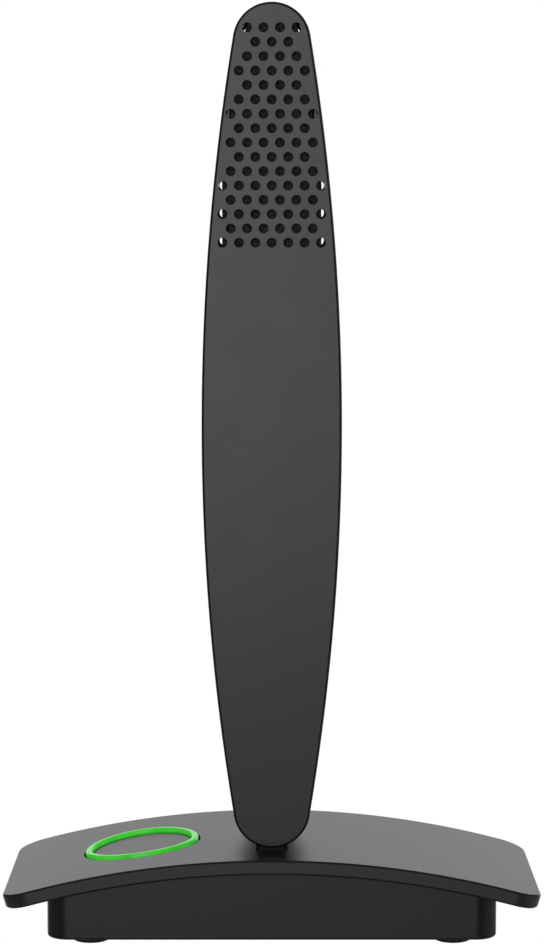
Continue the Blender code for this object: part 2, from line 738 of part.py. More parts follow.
def make_foam():
    """The two foam pads, close behind the perforated faces."""
    start = FRONT_INNER + TOUCH_GAP
    outline = foam_outline(FOAM_WALL_SPACE, True)
    pad = upright_mesh([outline], start, start + FOAM_THICKNESS)
    add_piece("front_acoustic_foam", pad, "black_foam")
    end = BACK_INNER - TOUCH_GAP
    start = HEAD_BOARD_Y + HEAD_BOARD_THICKNESS / 2 + TOUCH_GAP
    pad = upright_mesh([foam_outline(TOUCH_GAP, False)], start, end)
    add_piece("rear_acoustic_foam", pad, "black_foam")


def make_capsule():
    """The capsule, and the rubber cradle that holds it on the head's board."""
    front = FRONT_INNER + TOUCH_GAP + FOAM_THICKNESS + TOUCH_GAP
    back = HEAD_BOARD_Y - HEAD_BOARD_THICKNESS / 2 - TOUCH_GAP
    inner = CAPSULE_RADIUS + TOUCH_GAP
    outer = inner + CRADLE_WALL
    depth = back - front
    floor = depth - CRADLE_LIP - CAPSULE_LENGTH - TOUCH_GAP
    profile = [(0, floor), (inner, floor), (inner, depth), (outer, depth), (outer, 0), (0, 0)]
    place = Matrix.Translation((0, back, CAPSULE_Z)) @ toward((0, -1, 0))
    cradle = turned_mesh(profile, CAPSULE_SIDES)
    cradle.transform(place)
    shade_round(add_piece("capsule_cradle", cradle, "black_rubber"))
    start = (0, front + CRADLE_LIP, CAPSULE_Z)
    end = (0, front + CRADLE_LIP + CAPSULE_LENGTH, CAPSULE_Z)
    capsule = rod_mesh("capsule", start, end, CAPSULE_RADIUS, CAPSULE_SIDES)
    shade_round(add_piece("mic_capsule", capsule, "capsule_metal"))


def make_head_board():
    """The preamplifier board, its parts and its screws."""
    half = HEAD_BOARD_WIDTH / 2
    corners = [(half, HEAD_BOARD_BOTTOM), (half, HEAD_BOARD_TOP)]
    outline = corners + [(-x, z) for x, z in reversed(corners)]
    holes = [circle(x, z, SMALL_PILOT, SCREW_SIDES) for x, z in head_standoffs()]
    front = HEAD_BOARD_Y - HEAD_BOARD_THICKNESS / 2
    back = HEAD_BOARD_Y + HEAD_BOARD_THICKNESS / 2
    add_piece("head_board", upright_mesh([outline, *holes], front, back), "green_board")

    surface = front - TOUCH_GAP
    (_, low_hole), (_, high_hole) = head_standoffs()
    half_chip, z = CHIP_SIZE / 2, (low_hole + high_hole) / 2
    low = (-half_chip, surface - CHIP_HEIGHT, z - half_chip)
    add_piece("preamp_chip", box_mesh("chip", low, (half_chip, surface, z + half_chip)), "chip")

    width, height, depth = CONNECTOR_SIZE
    low = (-width / 2, surface - depth, HEAD_BOARD_BOTTOM)
    high = (width / 2, surface, HEAD_BOARD_BOTTOM + height)
    add_piece("head_board_connector", box_mesh("connector", low, high), "white_part")

    bite = HEAD_BOARD_BACK_SPACE - SMALL_SHANK
    length = HEAD_BOARD_THICKNESS + bite
    screw = screw_mesh(SMALL_SHANK, length, SMALL_HEAD_RADIUS, SMALL_HEAD_HEIGHT)
    places = [Matrix.Translation((x, surface, z)) @ toward((0, -1, 0)) for x, z in head_standoffs()]
    add_copies("head_board_screw", screw, places, "steel")


def make_head_screws():
    """The screws that join the two shells, and those that hold the head to the neck."""
    seat = HEAD_BACK - PILLAR_RECESS_DEPTH + TOUCH_GAP
    screw = screw_mesh(LARGE_SHANK, SHELL_SCREW_LENGTH, LARGE_HEAD_RADIUS, LARGE_HEAD_HEIGHT)
    places = [Matrix.Translation((x, seat, z)) @ toward((0, 1, 0)) for x, z in pillar_places()]
    add_copies("head_shell_screw", screw, places, "steel")

    seat = HEAD_BACK - FLAT_HEAD_HEIGHT
    screw = screw_mesh(LARGE_SHANK, NECK_SCREW_LENGTH, LARGE_HEAD_RADIUS, FLAT_HEAD_HEIGHT)
    places = [
        Matrix.Translation((0, seat + TOUCH_GAP / 2, HEAD_BOTTOM + lift)) @ toward((0, 1, 0))
        for lift in NECK_SCREW_LIFTS
    ]
    add_copies("neck_screw", screw, places, "steel")


# Neck

def neck_foot_top():
    """Height of the neck's foot, which lies flat under the arched plate."""
    return arch_height(NECK_FOOT_WIDTH / 2, UNDER_RADIUS) - TOUCH_GAP


def neck_foot_screws():
    """Centres in (x, y) of the screws that hold the foot to the plate."""
    reach = NECK_FOOT_DEPTH / 2 - NECK_FOOT_SCREW_INSET
    return [
        (sx * NECK_FOOT_SCREW_X, HEAD_CENTRE_Y + sy * reach) for sx in (-1, 1) for sy in (-1, 1)
    ]


def make_neck():
    """The block between the base and the head, bored for the lead."""
    foot_top = neck_foot_top()
    foot_bottom = foot_top - NECK_FOOT_THICKNESS
    neck_top = HEAD_BOTTOM + NECK_RISE
    half = NECK_WIDTH / 2
    low = (-half, NECK_FRONT, foot_bottom)
    stem = box_mesh("stem", low, (half, NECK_BACK, neck_top))
    neck = add_piece("neck_block", stem, "black_shell")
    half_depth = NECK_FOOT_DEPTH / 2
    low = (-NECK_FOOT_WIDTH / 2, HEAD_CENTRE_Y - half_depth, foot_bottom)
    high = (NECK_FOOT_WIDTH / 2, HEAD_CENTRE_Y + half_depth, foot_top)
    combine(neck, add_tool("neck_foot", box_mesh("foot", low, high)), "UNION")

    below, above = foot_bottom - CUT_OVERRUN, neck_top + CUT_OVERRUN
    low, high = (0, NECK_BORE_Y, below), (0, NECK_BORE_Y, above)
    bore = rod_mesh("bore", low, high, NECK_BORE_RADIUS, ROUND_SIDES)
    cuts = [bore]
    for x, y in neck_foot_screws():
        cuts.append(rod_mesh("hole", (x, y, below), (x, y, foot_top + CUT_OVERRUN), SMALL_PILOT))
    tip = HEAD_BACK - FLAT_HEAD_HEIGHT - NECK_SCREW_LENGTH - TOUCH_GAP
    for lift in NECK_SCREW_LIFTS:
        z = HEAD_BOTTOM + lift
        cuts.append(rod_mesh("pilot", (0, tip, z), (0, NECK_BACK + CUT_OVERRUN, z), LARGE_PILOT))
    combine(neck, add_tool("neck_cuts", joined_mesh("cuts", cuts)), "DIFFERENCE")

    length = NECK_FOOT_THICKNESS + NECK_FOOT_SCREW_BITE
    screw = screw_mesh(SMALL_SHANK, length, SMALL_HEAD_RADIUS, SMALL_HEAD_HEIGHT)
    seat = foot_bottom - TOUCH_GAP
    places = [Matrix.Translation((x, y, seat)) @ toward((0, 0, -1)) for x, y in neck_foot_screws()]
    add_copies("neck_foot_screw", screw, places, "steel")


# Base

def bent(mesh):
    """Bends a flat mesh, whose top face lies at Z 0, to the plate's arch."""
    for vertex in mesh.vertices:
        turn = vertex.co.x / PLATE_RADIUS
        reach = PLATE_RADIUS + vertex.co.z
        place = (reach * math.sin(turn), vertex.co.y, ARCH_CENTRE_Z + reach * math.cos(turn))
        vertex.co = place
    return mesh


def plate_mesh():
    """The arched plate without its openings."""
    half_turn = math.asin(PLATE_SPAN / 2 / PLATE_RADIUS)
    length = 2 * half_turn * PLATE_RADIUS
    outline = rounded_rectangle(length, PLATE_DEPTH, PLATE_CORNER)
    mesh = level_mesh([outline], -PLATE_THICKNESS, 0)
    bm = bmesh.new()
    bm.from_mesh(mesh)
    for i in range(1, ARCH_STEPS):
        x = length * (i / ARCH_STEPS - 1 / 2)
        everything = bm.verts[:] + bm.edges[:] + bm.faces[:]
        bmesh.ops.bisect_plane(
            bm, geom=everything, dist=MERGE_DISTANCE, plane_co=(x, 0, 0), plane_no=(1, 0, 0)
        )
    return bent(finished_mesh(bm, "plate"))


def foot_places():
    """Centres in (x, y) of the feet and of the screws above them."""
    return [(sx * FOOT_X, sy * FOOT_Y) for sx, sy in FOOT_CORNERS]


def make_plate():
    """The base plate with its pillars, and the openings for the neck and the button."""
    plate = add_piece("base_plate", plate_mesh(), "black_plate")
    pillar_end = TRAY_PILLAR_TOP + TOUCH_GAP
    joins = []
    for x, y in foot_places():
        top = arch_height(abs(x) + PLATE_PILLAR_RADIUS) - PLATE_THICKNESS / 2
        start, end = (x, y, pillar_end), (x, y, top)
        joins.append(rod_mesh("pillar", start, end, PLATE_PILLAR_RADIUS, ROUND_SIDES))
    combine(plate, add_tool("plate_pillars", joined_mesh("pillars", joins)), "UNION")

    frame = button_frame()
    bosses = []
    for sx, sy in BUTTON_HOLES:
        x, y = sx * BUTTON_HOLE_AT, sy * BUTTON_HOLE_AT
        low = (x, y, BUTTON_BOARD_TOP + TOUCH_GAP)
        high = (x, y, -PLATE_THICKNESS / 2 - arch_drop(BUTTON_HOLE_AT + BUTTON_BOSS_RADIUS))
        bosses.append(rod_mesh("boss", low, high, BUTTON_BOSS_RADIUS, ROUND_SIDES))
    tool = add_tool("button_board_bosses", joined_mesh("bosses", bosses))
    tool.matrix_world = frame
    combine(plate, tool, "UNION")

    cuts = []
    for x, y in foot_places():
        end = pillar_end + BASE_SCREW_BITE + TOUCH_GAP
        start = (x, y, pillar_end - CUT_OVERRUN)
        cuts.append(rod_mesh("pilot", start, (x, y, end), LARGE_PILOT))
    foot_top = neck_foot_top()
    for x, y in neck_foot_screws():
        end = foot_top + NECK_FOOT_SCREW_BITE + TOUCH_GAP
        cuts.append(rod_mesh("pilot", (x, y, foot_top - CUT_OVERRUN), (x, y, end), SMALL_PILOT))
    half = NECK_WIDTH / 2 + TOUCH_GAP
    low = (-half, NECK_FRONT - TOUCH_GAP, foot_top - CUT_OVERRUN)
    high = (half, NECK_BACK + TOUCH_GAP, CROWN_HEIGHT + CUT_OVERRUN)
    cuts.append(box_mesh("neck_slot", low, high))
    combine(plate, add_tool("plate_cuts", joined_mesh("cuts", cuts)), "DIFFERENCE")

    low, high = (0, 0, FLANGE_TOP), (0, 0, RING_STAND)
    radius = RING_OUTER_RADIUS + RING_GROOVE
    opening = [rod_mesh("opening", low, high, radius, RING_TURN_STEPS)]
    for sx, sy in BUTTON_HOLES:
        x, y = sx * BUTTON_HOLE_AT, sy * BUTTON_HOLE_AT
        start = (x, y, BUTTON_BOARD_TOP - CUT_OVERRUN)
        opening.append(rod_mesh("pilot", start, (x, y, FLANGE_TOP), SMALL_PILOT))
    tool = add_tool("button_openings", joined_mesh("openings", opening))
    tool.matrix_world = frame
    combine(plate, tool, "DIFFERENCE")
    return shade_round(plate)


def arch_block_mesh(radius):
    """A block under an arch of this radius, wider and deeper than the tray."""
    reach = TRAY_WIDTH / 2 + CUT_OVERRUN
    turn = math.asin(reach / radius)
    outline = [(-reach, TRAY_BOTTOM - CUT_OVERRUN), (reach, TRAY_BOTTOM - CUT_OVERRUN)]
    for i in range(ARCH_STEPS + 1):
        t = turn * (1 - 2 * i / ARCH_STEPS)
        outline.append((radius * math.sin(t), ARCH_CENTRE_Z + radius * math.cos(t)))
    half = TRAY_DEPTH / 2 + CUT_OVERRUN
    return upright_mesh([outline], -half, half)


def main_board_corners(sides):
    """Centres in (x, y) of the main board's standoffs at these corners."""
    x = MAIN_BOARD_WIDTH / 2 - MAIN_BOARD_HOLE_INSET
    y = MAIN_BOARD_DEPTH / 2 - MAIN_BOARD_HOLE_INSET
    return [(MAIN_BOARD_CENTRE_X + sx * x, MAIN_BOARD_CENTRE_Y + sy * y) for sx, sy in sides]


def ballast_centre_y():
    """The ballast lies along the tray's front wall."""
    return -TRAY_DEPTH / 2 + TRAY_WALL + BALLAST_FRONT_SPACE + BALLAST_DEPTH / 2


def socket_centre_z():
    """Height of the middle of the USB socket, which sits on the main board."""
    return MAIN_BOARD_TOP + TOUCH_GAP + SOCKET_HEIGHT / 2


def make_tray():
    """The lower housing with its pillars, standoffs, pegs, recesses and the port."""
    outline = rounded_rectangle(TRAY_WIDTH, TRAY_DEPTH, TRAY_CORNER)
    tray = add_piece("base_tray", level_mesh([outline], TRAY_BOTTOM, CROWN_HEIGHT), "black_tray")
    under = add_tool("tray_arch", arch_block_mesh(UNDER_RADIUS - TOUCH_GAP))
    combine(tray, under, "INTERSECT")
    inner = rounded_rectangle(
        TRAY_WIDTH - 2 * TRAY_WALL, TRAY_DEPTH - 2 * TRAY_WALL, TRAY_CORNER - TRAY_WALL
    )
    cavity = level_mesh([inner], FLOOR_TOP, CROWN_HEIGHT + CUT_OVERRUN)
    combine(tray, add_tool("tray_cavity", cavity), "DIFFERENCE")

    in_floor = TRAY_BOTTOM + TRAY_FLOOR / 2
    joins = []
    for x, y in foot_places():
        start, end = (x, y, in_floor), (x, y, TRAY_PILLAR_TOP)
        joins.append(rod_mesh("pillar", start, end, TRAY_PILLAR_RADIUS, ROUND_SIDES))
    for x, y in main_board_corners(FOOT_CORNERS):
        start, end = (x, y, in_floor), (x, y, MAIN_BOARD_BOTTOM - TOUCH_GAP)
        joins.append(rod_mesh("standoff", start, end, STANDOFF_RADIUS))
    for side in (-1, 1):
        x, y = side * BALLAST_PEG_X, ballast_centre_y()
        end = (x, y, FLOOR_TOP + TOUCH_GAP + BALLAST_THICKNESS)
        joins.append(rod_mesh("peg", (x, y, in_floor), end, BALLAST_PEG_RADIUS))
    combine(tray, add_tool("tray_inside", joined_mesh("inside", joins)), "UNION")

    below = TRAY_BOTTOM - CUT_OVERRUN
    foot_seat = TRAY_BOTTOM + FOOT_RECESS
    recesses, cuts = [], []
    for x, y in foot_places():
        radius = FOOT_RADIUS + TOUCH_GAP
        recesses.append(rod_mesh("foot_recess", (x, y, below), (x, y, foot_seat), radius, FOOT_SIDES))
        start, end = (x, y, below), (x, y, TRAY_SCREW_SEAT)
        cuts.append(rod_mesh("head_recess", start, end, LARGE_HEAD_RADIUS + TOUCH_GAP, ROUND_SIDES))
    combine(tray, add_tool("foot_recesses", joined_mesh("recesses", recesses)), "DIFFERENCE")
    for x, y in main_board_corners(BOARD_SCREW_CORNERS):
        start, end = (x, y, FLOOR_TOP), (x, y, MAIN_BOARD_BOTTOM + CUT_OVERRUN)
        cuts.append(rod_mesh("pilot", start, end, SMALL_PILOT))
    port = rounded_rectangle(
        SOCKET_WIDTH + 2 * PORT_MARGIN,
        SOCKET_HEIGHT + 2 * PORT_MARGIN,
        SOCKET_HEIGHT / 2,
    )
    port = [(x, socket_centre_z() + z) for x, z in port]
    back = TRAY_DEPTH / 2
    cuts.append(upright_mesh([port], back - TRAY_WALL - CUT_OVERRUN, back + CUT_OVERRUN))
    combine(tray, add_tool("tray_cuts", joined_mesh("cuts", cuts)), "DIFFERENCE")
    through = [
        rod_mesh("through", (x, y, below), (x, y, TRAY_PILLAR_TOP + CUT_OVERRUN), LARGE_PILOT)
        for x, y in foot_places()
    ]
    combine(tray, add_tool("tray_through", joined_mesh("through", through)), "DIFFERENCE")
    return shade_round(tray)


def make_feet():
    """Four rubber feet, and the screws that they cover."""
    top = TRAY_BOTTOM + FOOT_RECESS - TOUCH_GAP
    names = ("front_left_foot", "front_right_foot", "back_right_foot", "back_left_foot")
    for name, (x, y) in zip(names, foot_places()):
        foot = rod_mesh("foot", (x, y, 0), (x, y, top), FOOT_RADIUS, FOOT_SIDES)
        shade_round(add_piece(name, foot, "black_rubber"))
    seat = TRAY_SCREW_SEAT - TOUCH_GAP
    length = TRAY_PILLAR_TOP + TOUCH_GAP - seat + BASE_SCREW_BITE
    screw = screw_mesh(LARGE_SHANK, length, LARGE_HEAD_RADIUS, LARGE_HEAD_HEIGHT)
    places = [Matrix.Translation((x, y, seat)) @ toward((0, 0, -1)) for x, y in foot_places()]
    add_copies("base_screw", screw, places, "steel")


def make_ballast():
    """A steel plate on the tray's floor, held by two pegs."""
    centre = ballast_centre_y()
    half_x, half_y = BALLAST_WIDTH / 2, BALLAST_DEPTH / 2
    corners = [(half_x, half_y), (-half_x, half_y), (-half_x, -half_y), (half_x, -half_y)]
    outline = [(x, centre + y) for x, y in corners]
    radius = BALLAST_PEG_RADIUS + TOUCH_GAP
    holes = [circle(side * BALLAST_PEG_X, centre, radius, SCREW_SIDES) for side in (-1, 1)]
    bottom = FLOOR_TOP + TOUCH_GAP
    plate = level_mesh([outline, *holes], bottom, bottom + BALLAST_THICKNESS)
    add_piece("ballast_plate", plate, "steel")


def make_main_board():
    """The USB board on the tray's standoffs, its parts and its screws."""
    half_x, half_y = MAIN_BOARD_WIDTH / 2, MAIN_BOARD_DEPTH / 2
    corners = [(half_x, half_y), (-half_x, half_y), (-half_x, -half_y), (half_x, -half_y)]
    outline = [(MAIN_BOARD_CENTRE_X + x, MAIN_BOARD_CENTRE_Y + y) for x, y in corners]
    holes = [circle(x, y, SMALL_PILOT, SCREW_SIDES) for x, y in main_board_corners(BOARD_SCREW_CORNERS)]
    board = level_mesh([outline, *holes], MAIN_BOARD_BOTTOM, MAIN_BOARD_TOP)
    add_piece("main_board", board, "green_board")

    surface = MAIN_BOARD_TOP + TOUCH_GAP
    half = CHIP_SIZE / 2
    for name, steps in (("audio_chip", 1), ("usb_chip", 3)):
        x = MAIN_BOARD_CENTRE_X + steps * CHIP_SIZE
        low = (x - half, MAIN_BOARD_CENTRE_Y - half, surface)
        high = (x + half, MAIN_BOARD_CENTRE_Y + half, surface + CHIP_HEIGHT)
        add_piece(name, box_mesh("chip", low, high), "chip")

    length = BOARD_THICKNESS + MAIN_BOARD_LIFT - SMALL_SHANK
    screw = screw_mesh(SMALL_SHANK, length, SMALL_HEAD_RADIUS, SMALL_HEAD_HEIGHT)
    places = [Matrix.Translation((x, y, surface)) for x, y in main_board_corners(BOARD_SCREW_CORNERS)]
    add_copies("main_board_screw", screw, places, "steel")


def lead_socket_place():
    """Middle of the lead connector's foot on the main board, under the neck's bore."""
    return Vector((0, MAIN_BOARD_CENTRE_Y - MAIN_BOARD_DEPTH / 2, MAIN_BOARD_TOP + TOUCH_GAP))


def make_main_board_connector():
    """The connector on the main board that takes the head's lead."""
    width, height, depth = CONNECTOR_SIZE
    foot = lead_socket_place()
    low = foot - Vector((width / 2, 0, 0))
    high = foot + Vector((width / 2, depth, height))
    add_piece("main_board_connector", box_mesh("connector", low, high), "white_part")


def make_usb_socket():
    """The USB-C socket: a metal shell with a tongue, its mouth in the tray's port."""
    mouth = TRAY_DEPTH / 2 - SOCKET_SINK
    z = socket_centre_z()
    corner = SOCKET_HEIGHT / 2 - SOCKET_SHELL
    outline = rounded_rectangle(SOCKET_WIDTH, SOCKET_HEIGHT, corner)
    outline = [(x, z + y) for x, y in outline]
    shell = upright_mesh([outline], mouth - SOCKET_DEPTH, mouth)
    socket = add_piece("usb_socket", shell, "steel")
    inner = rounded_rectangle(
        SOCKET_WIDTH - 2 * SOCKET_SHELL, SOCKET_HEIGHT - 2 * SOCKET_SHELL, corner - SOCKET_SHELL
    )
    inner = [(x, z + y) for x, y in inner]
    pocket = upright_mesh([inner], mouth - SOCKET_POCKET, mouth + CUT_OVERRUN)
    combine(socket, add_tool("usb_pocket", pocket), "DIFFERENCE")
    shade_round(socket)
    root = mouth - SOCKET_POCKET + TOUCH_GAP
    low = (-TONGUE_WIDTH / 2, root, z - TONGUE_HEIGHT / 2)
    high = (TONGUE_WIDTH / 2, root + TONGUE_LENGTH, z + TONGUE_HEIGHT / 2)
    add_piece("usb_tongue", box_mesh("tongue", low, high), "chip")


# Mute button

def ring_top_profile():
    """The flat top of the light ring with its two round edges, from the inner side to the outer side."""
    inner, outer = [], []
    for i in range(RING_EDGE_STEPS + 1):
        t = math.pi / 2 * i / RING_EDGE_STEPS
        inset, height = RING_EDGE * (1 - math.cos(t)), RING_STAND - RING_EDGE * (1 - math.sin(t))
        inner.append((RING_INNER_RADIUS + inset, height))
        outer.append((RING_OUTER_RADIUS - inset, height))
    return inner + outer[::-1]


def arched(mesh, lowest):
    """Lets what lies above a height in the button's frame follow the plate's arch."""
    for vertex in mesh.vertices:
        if vertex.co.z > lowest:
            vertex.co.z -= PLATE_RADIUS - math.sqrt(PLATE_RADIUS**2 - vertex.co.x**2)
    return mesh


def make_button(axis):
    """The light ring, the cap inside it and the plunger that they press."""
    ledge = RING_INNER_RADIUS - RING_LEDGE
    profile = ring_top_profile() + [
        (RING_OUTER_RADIUS, FLANGE_TOP),
        (FLANGE_RADIUS, FLANGE_TOP),
        (FLANGE_RADIUS, FLANGE_BOTTOM),
        (ledge, FLANGE_BOTTOM),
        (ledge, FLANGE_TOP),
        (RING_INNER_RADIUS, FLANGE_TOP),
    ]
    ring = arched(turned_mesh(profile, RING_TURN_STEPS, closed=True), FLANGE_TOP / 2)
    shade_round(add_piece("light_ring", ring, "green_light", axis))

    rim = RING_INNER_RADIUS - TOUCH_GAP
    skirt_bottom = FLANGE_TOP + TOUCH_GAP
    under = -CAP_SINK - CAP_THICKNESS
    profile = [(rim * i / CAP_FACE_STEPS, -CAP_SINK) for i in range(CAP_FACE_STEPS + 1)] + [
        (rim, skirt_bottom),
        (rim - CAP_SKIRT, skirt_bottom),
        (rim - CAP_SKIRT, under),
        (CAP_PIN_RADIUS, under),
        (CAP_PIN_RADIUS, CAP_PIN_BOTTOM),
        (0, CAP_PIN_BOTTOM),
    ]
    cap = arched(turned_mesh(profile, RING_TURN_STEPS), under + CAP_THICKNESS / 2)
    shade_round(add_piece("button_cap", cap, "black_plate", axis))
    plunger = rod_mesh("plunger", (0, 0, PLUNGER_BOTTOM), (0, 0, PLUNGER_TOP), PLUNGER_RADIUS, ROUND_SIDES)
    shade_round(add_piece("switch_plunger", plunger, "white_part", axis))


def make_button_board(mount):
    """The board under the button with its switch, lights and screws, all fixed to the plate."""
    half = BUTTON_BOARD_SIZE / 2
    outline = [(half, half), (-half, half), (-half, -half), (half, -half)]
    hole_places = [(sx * BUTTON_HOLE_AT, sy * BUTTON_HOLE_AT) for sx, sy in BUTTON_HOLES]
    holes = [circle(x, y, SMALL_PILOT, SCREW_SIDES) for x, y in hole_places]
    bottom = BUTTON_BOARD_TOP - BUTTON_BOARD_THICKNESS
    mesh = level_mesh([outline, *holes], bottom, BUTTON_BOARD_TOP)
    board = add_piece("button_board", mesh, "green_board", mount)
    notch_radius = TRAY_PILLAR_RADIUS + 2 * TOUCH_GAP
    x, y = foot_places()[0]
    notch = rod_mesh("notch", (x, y, 0), (x, y, CROWN_HEIGHT), notch_radius, ROUND_SIDES)
    combine(board, add_tool("button_board_notch", notch), "DIFFERENCE")

    reach = SWITCH_SIZE / 2
    low, high = (-reach, -reach, SWITCH_BOTTOM), (reach, reach, SWITCH_TOP)
    switch = add_piece("switch_body", box_mesh("switch", low, high), "chip", mount)
    well_floor = PLUNGER_BOTTOM - BUTTON_TRAVEL - TOUCH_GAP
    radius = PLUNGER_RADIUS + TOUCH_GAP
    well = rod_mesh("well", (0, 0, well_floor), (0, 0, SWITCH_TOP + CUT_OVERRUN), radius, ROUND_SIDES)
    combine(switch, add_tool("switch_well", well, mount), "DIFFERENCE")

    middle = (RING_OUTER_RADIUS + RING_INNER_RADIUS) / 2
    low = (middle - LED_SIZE / 2, -LED_SIZE / 2, SWITCH_BOTTOM)
    high = (middle + LED_SIZE / 2, LED_SIZE / 2, SWITCH_BOTTOM + LED_HEIGHT)
    light = box_mesh("light", low, high)
    turns = [Matrix.Rotation(2 * math.pi * i / LED_COUNT, 4, "Z") for i in range(LED_COUNT)]
    add_copies("ring_light", light, turns, "white_part", mount)

    length = BUTTON_BOARD_THICKNESS + FLANGE_TOP - BUTTON_BOARD_TOP - SMALL_SHANK
    screw = screw_mesh(SMALL_SHANK, length, SMALL_HEAD_RADIUS, SMALL_HEAD_HEIGHT)
    seat = bottom - TOUCH_GAP
    places = [Matrix.Translation((x, y, seat)) @ toward((0, 0, -1)) for x, y in hole_places]
    add_copies("button_board_screw", screw, places, "steel", mount)


# Leads inside the product

def make_leads():
    """The head's lead through the neck, and the button's lead along the tray."""
    front = HEAD_BOARD_Y - HEAD_BOARD_THICKNESS / 2 - TOUCH_GAP
    start = Vector((0, front - CONNECTOR_SIZE[2] / 2, HEAD_BOARD_BOTTOM - TOUCH_GAP))
    neck_top = HEAD_BOTTOM + NECK_RISE
    socket = lead_socket_place()
    end = socket + Vector((0, -TOUCH_GAP, CONNECTOR_SIZE[1] / 2))
    drop = neck_foot_top() - NECK_FOOT_THICKNESS
    bend = (drop - end.z) / 2
    route = [
        start,
        start - Vector((0, 0, NECK_BORE_FRONT)),
        Vector((0, NECK_BORE_Y, neck_top + NECK_BORE_FRONT)),
        Vector((0, NECK_BORE_Y, neck_top)),
        Vector((0, NECK_BORE_Y, HEAD_BOTTOM)),
        Vector((0, NECK_BORE_Y, drop)),
        Vector((0, NECK_BORE_Y + bend / 2, drop - bend)),
        end - Vector((0, bend, 0)),
        end,
    ]
    shade_round(add_piece("head_lead", lead_mesh(route, HEAD_LEAD_RADIUS), "lead"))

    under_board = BUTTON_BOARD_TOP - BUTTON_BOARD_THICKNESS - TOUCH_GAP
    board_end = button_frame() @ Vector((BUTTON_HOLE_AT, 0, under_board))
    main_end = Vector((
        MAIN_BOARD_CENTRE_X - MAIN_BOARD_WIDTH / 2 + BUTTON_LEAD_RADIUS * 2,
        MAIN_BOARD_CENTRE_Y,
        MAIN_BOARD_TOP + TOUCH_GAP,
    ))
    half_drop = Vector((0, 0, (board_end.z - main_end.z) / 2))
    route = [
        board_end,
        board_end - half_drop,
        (board_end + main_end) / 2,
        main_end + half_drop,
        main_end,
    ]
    shade_round(add_piece("button_lead", lead_mesh(route, BUTTON_LEAD_RADIUS), "lead"))


def empty(name, place):
    """A named place that pieces hang from."""
    made = bpy.data.objects.new(name, None)
    made.matrix_world = place
    bpy.data.collections[OBJECT_NAME].objects.link(made)
    return made


def main():
    """Builds the whole product."""
    clear_scene()
    new_collection(OBJECT_NAME)
    new_collection(CUTTER_COLLECTION)
    make_front_shell()
    make_rear_shell()
    make_foam()
    make_capsule()
    make_head_board()
    make_head_screws()
    make_neck()
    make_plate()
    make_tray()
    make_feet()
    make_ballast()
    make_main_board()
    make_main_board_connector()
    make_usb_socket()
    make_button(empty("mute_button_axis", button_frame()))
    make_button_board(empty("button_board_mount", button_frame()))
    make_leads()


main()
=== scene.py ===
"""The looks of a desk microphone: a perforated head on a neck, on an arched base with a lit button.

Metres, +Z up, +X to the user's right, +Y away from the user. The origin is on the table, under the
middle of the base plate.
"""

import json
import math

import bmesh
import bpy
from mathutils import Matrix, Vector


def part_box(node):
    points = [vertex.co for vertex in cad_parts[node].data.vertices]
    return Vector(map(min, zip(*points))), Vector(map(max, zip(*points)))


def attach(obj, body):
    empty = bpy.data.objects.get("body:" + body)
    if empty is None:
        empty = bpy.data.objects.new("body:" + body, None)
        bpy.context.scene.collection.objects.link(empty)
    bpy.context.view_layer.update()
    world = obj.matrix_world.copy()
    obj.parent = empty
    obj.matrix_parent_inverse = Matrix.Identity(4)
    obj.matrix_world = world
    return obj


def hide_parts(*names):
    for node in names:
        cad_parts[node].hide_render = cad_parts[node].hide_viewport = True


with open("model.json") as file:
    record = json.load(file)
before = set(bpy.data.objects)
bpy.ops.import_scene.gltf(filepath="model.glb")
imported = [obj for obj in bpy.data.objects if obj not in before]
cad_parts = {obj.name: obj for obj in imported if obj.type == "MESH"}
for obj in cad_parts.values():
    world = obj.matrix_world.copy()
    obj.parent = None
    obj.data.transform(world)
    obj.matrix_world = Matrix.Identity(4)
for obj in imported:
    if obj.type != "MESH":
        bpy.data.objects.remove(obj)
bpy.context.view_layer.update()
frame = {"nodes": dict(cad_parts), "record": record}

BASE = "base"
BUTTON = "mute_button"

# Camera, at the photograph's angle
CAMERA_PLACE = (0.00005, -0.7440, 0.18823)
CAMERA_TURN_DEGREES = 84.379
CAMERA_LENS_MM = 112.87
CAMERA_NEAR = 0.01

# Clearances and steps that all pieces share
TOUCH_GAP = 0.0003
CUT_OVERRUN = 0.001
MERGE_DISTANCE = 0.000002
SHARP_DEGREES = 40
EDGE_STEPS = 4
FINE_EDGE_STEPS = 2
ROUND_SIDES = 48

# Head
HEAD_TIP_RADIUS = 0.0095
HEAD_EDGE = 0.0007  # rounding round its two faces
SEAM_EDGE = 0.00015
INNER_EDGE = 0.0004  # slant inside, where the wall meets the face
SHELL_FACE = 0.0015
SHELL_WALL = 0.0009
SIDE_STEPS = 72
TIP_STEPS = 40

# Perforation
HOLE_PITCH = 0.004
HOLE_DIAMETER = 0.00236
HOLE_MARGIN = 0.0008  # least metal left beside a row's last hole
HOLE_EDGE = 0.00005
HOLE_SIDES = 28
FIRST_ROW_DROP = 0.00619  # first row below the upper tip
HOLE_ROWS = 16
FIRST_ROW_COUNT = 4

# Tongues of the front shell that line the rear one up, beside the seventh row of holes
RIB_ROW = 6
RIB_WIDTH = 0.0005
RIB_HEIGHT = 0.0032
RIB_REACH = 0.003  # past the seam, into the rear shell
RIB_WALL_SPACE = 0.00045  # from the shell's wall to the tongue

# Screws and their recesses in the head's back
RECESS_GAP = 0.0003  # round a screw's head
RECESS_EDGE = 0.0002
RECESS_WALL = 0.0006  # of the pillar round a recess
SCREW_EDGE = 0.00025
SCREW_SOCKET_SHARE = 0.55  # of the head's radius
SCREW_SOCKET_DEPTH_SHARE = 0.6  # of the head's height
SCREW_SOCKET_SIDES = 6
SCREW_SHANK = 0.0009
SHELL_SCREW_HEAD = 0.0014
NECK_SCREW_HEAD = 0.0008

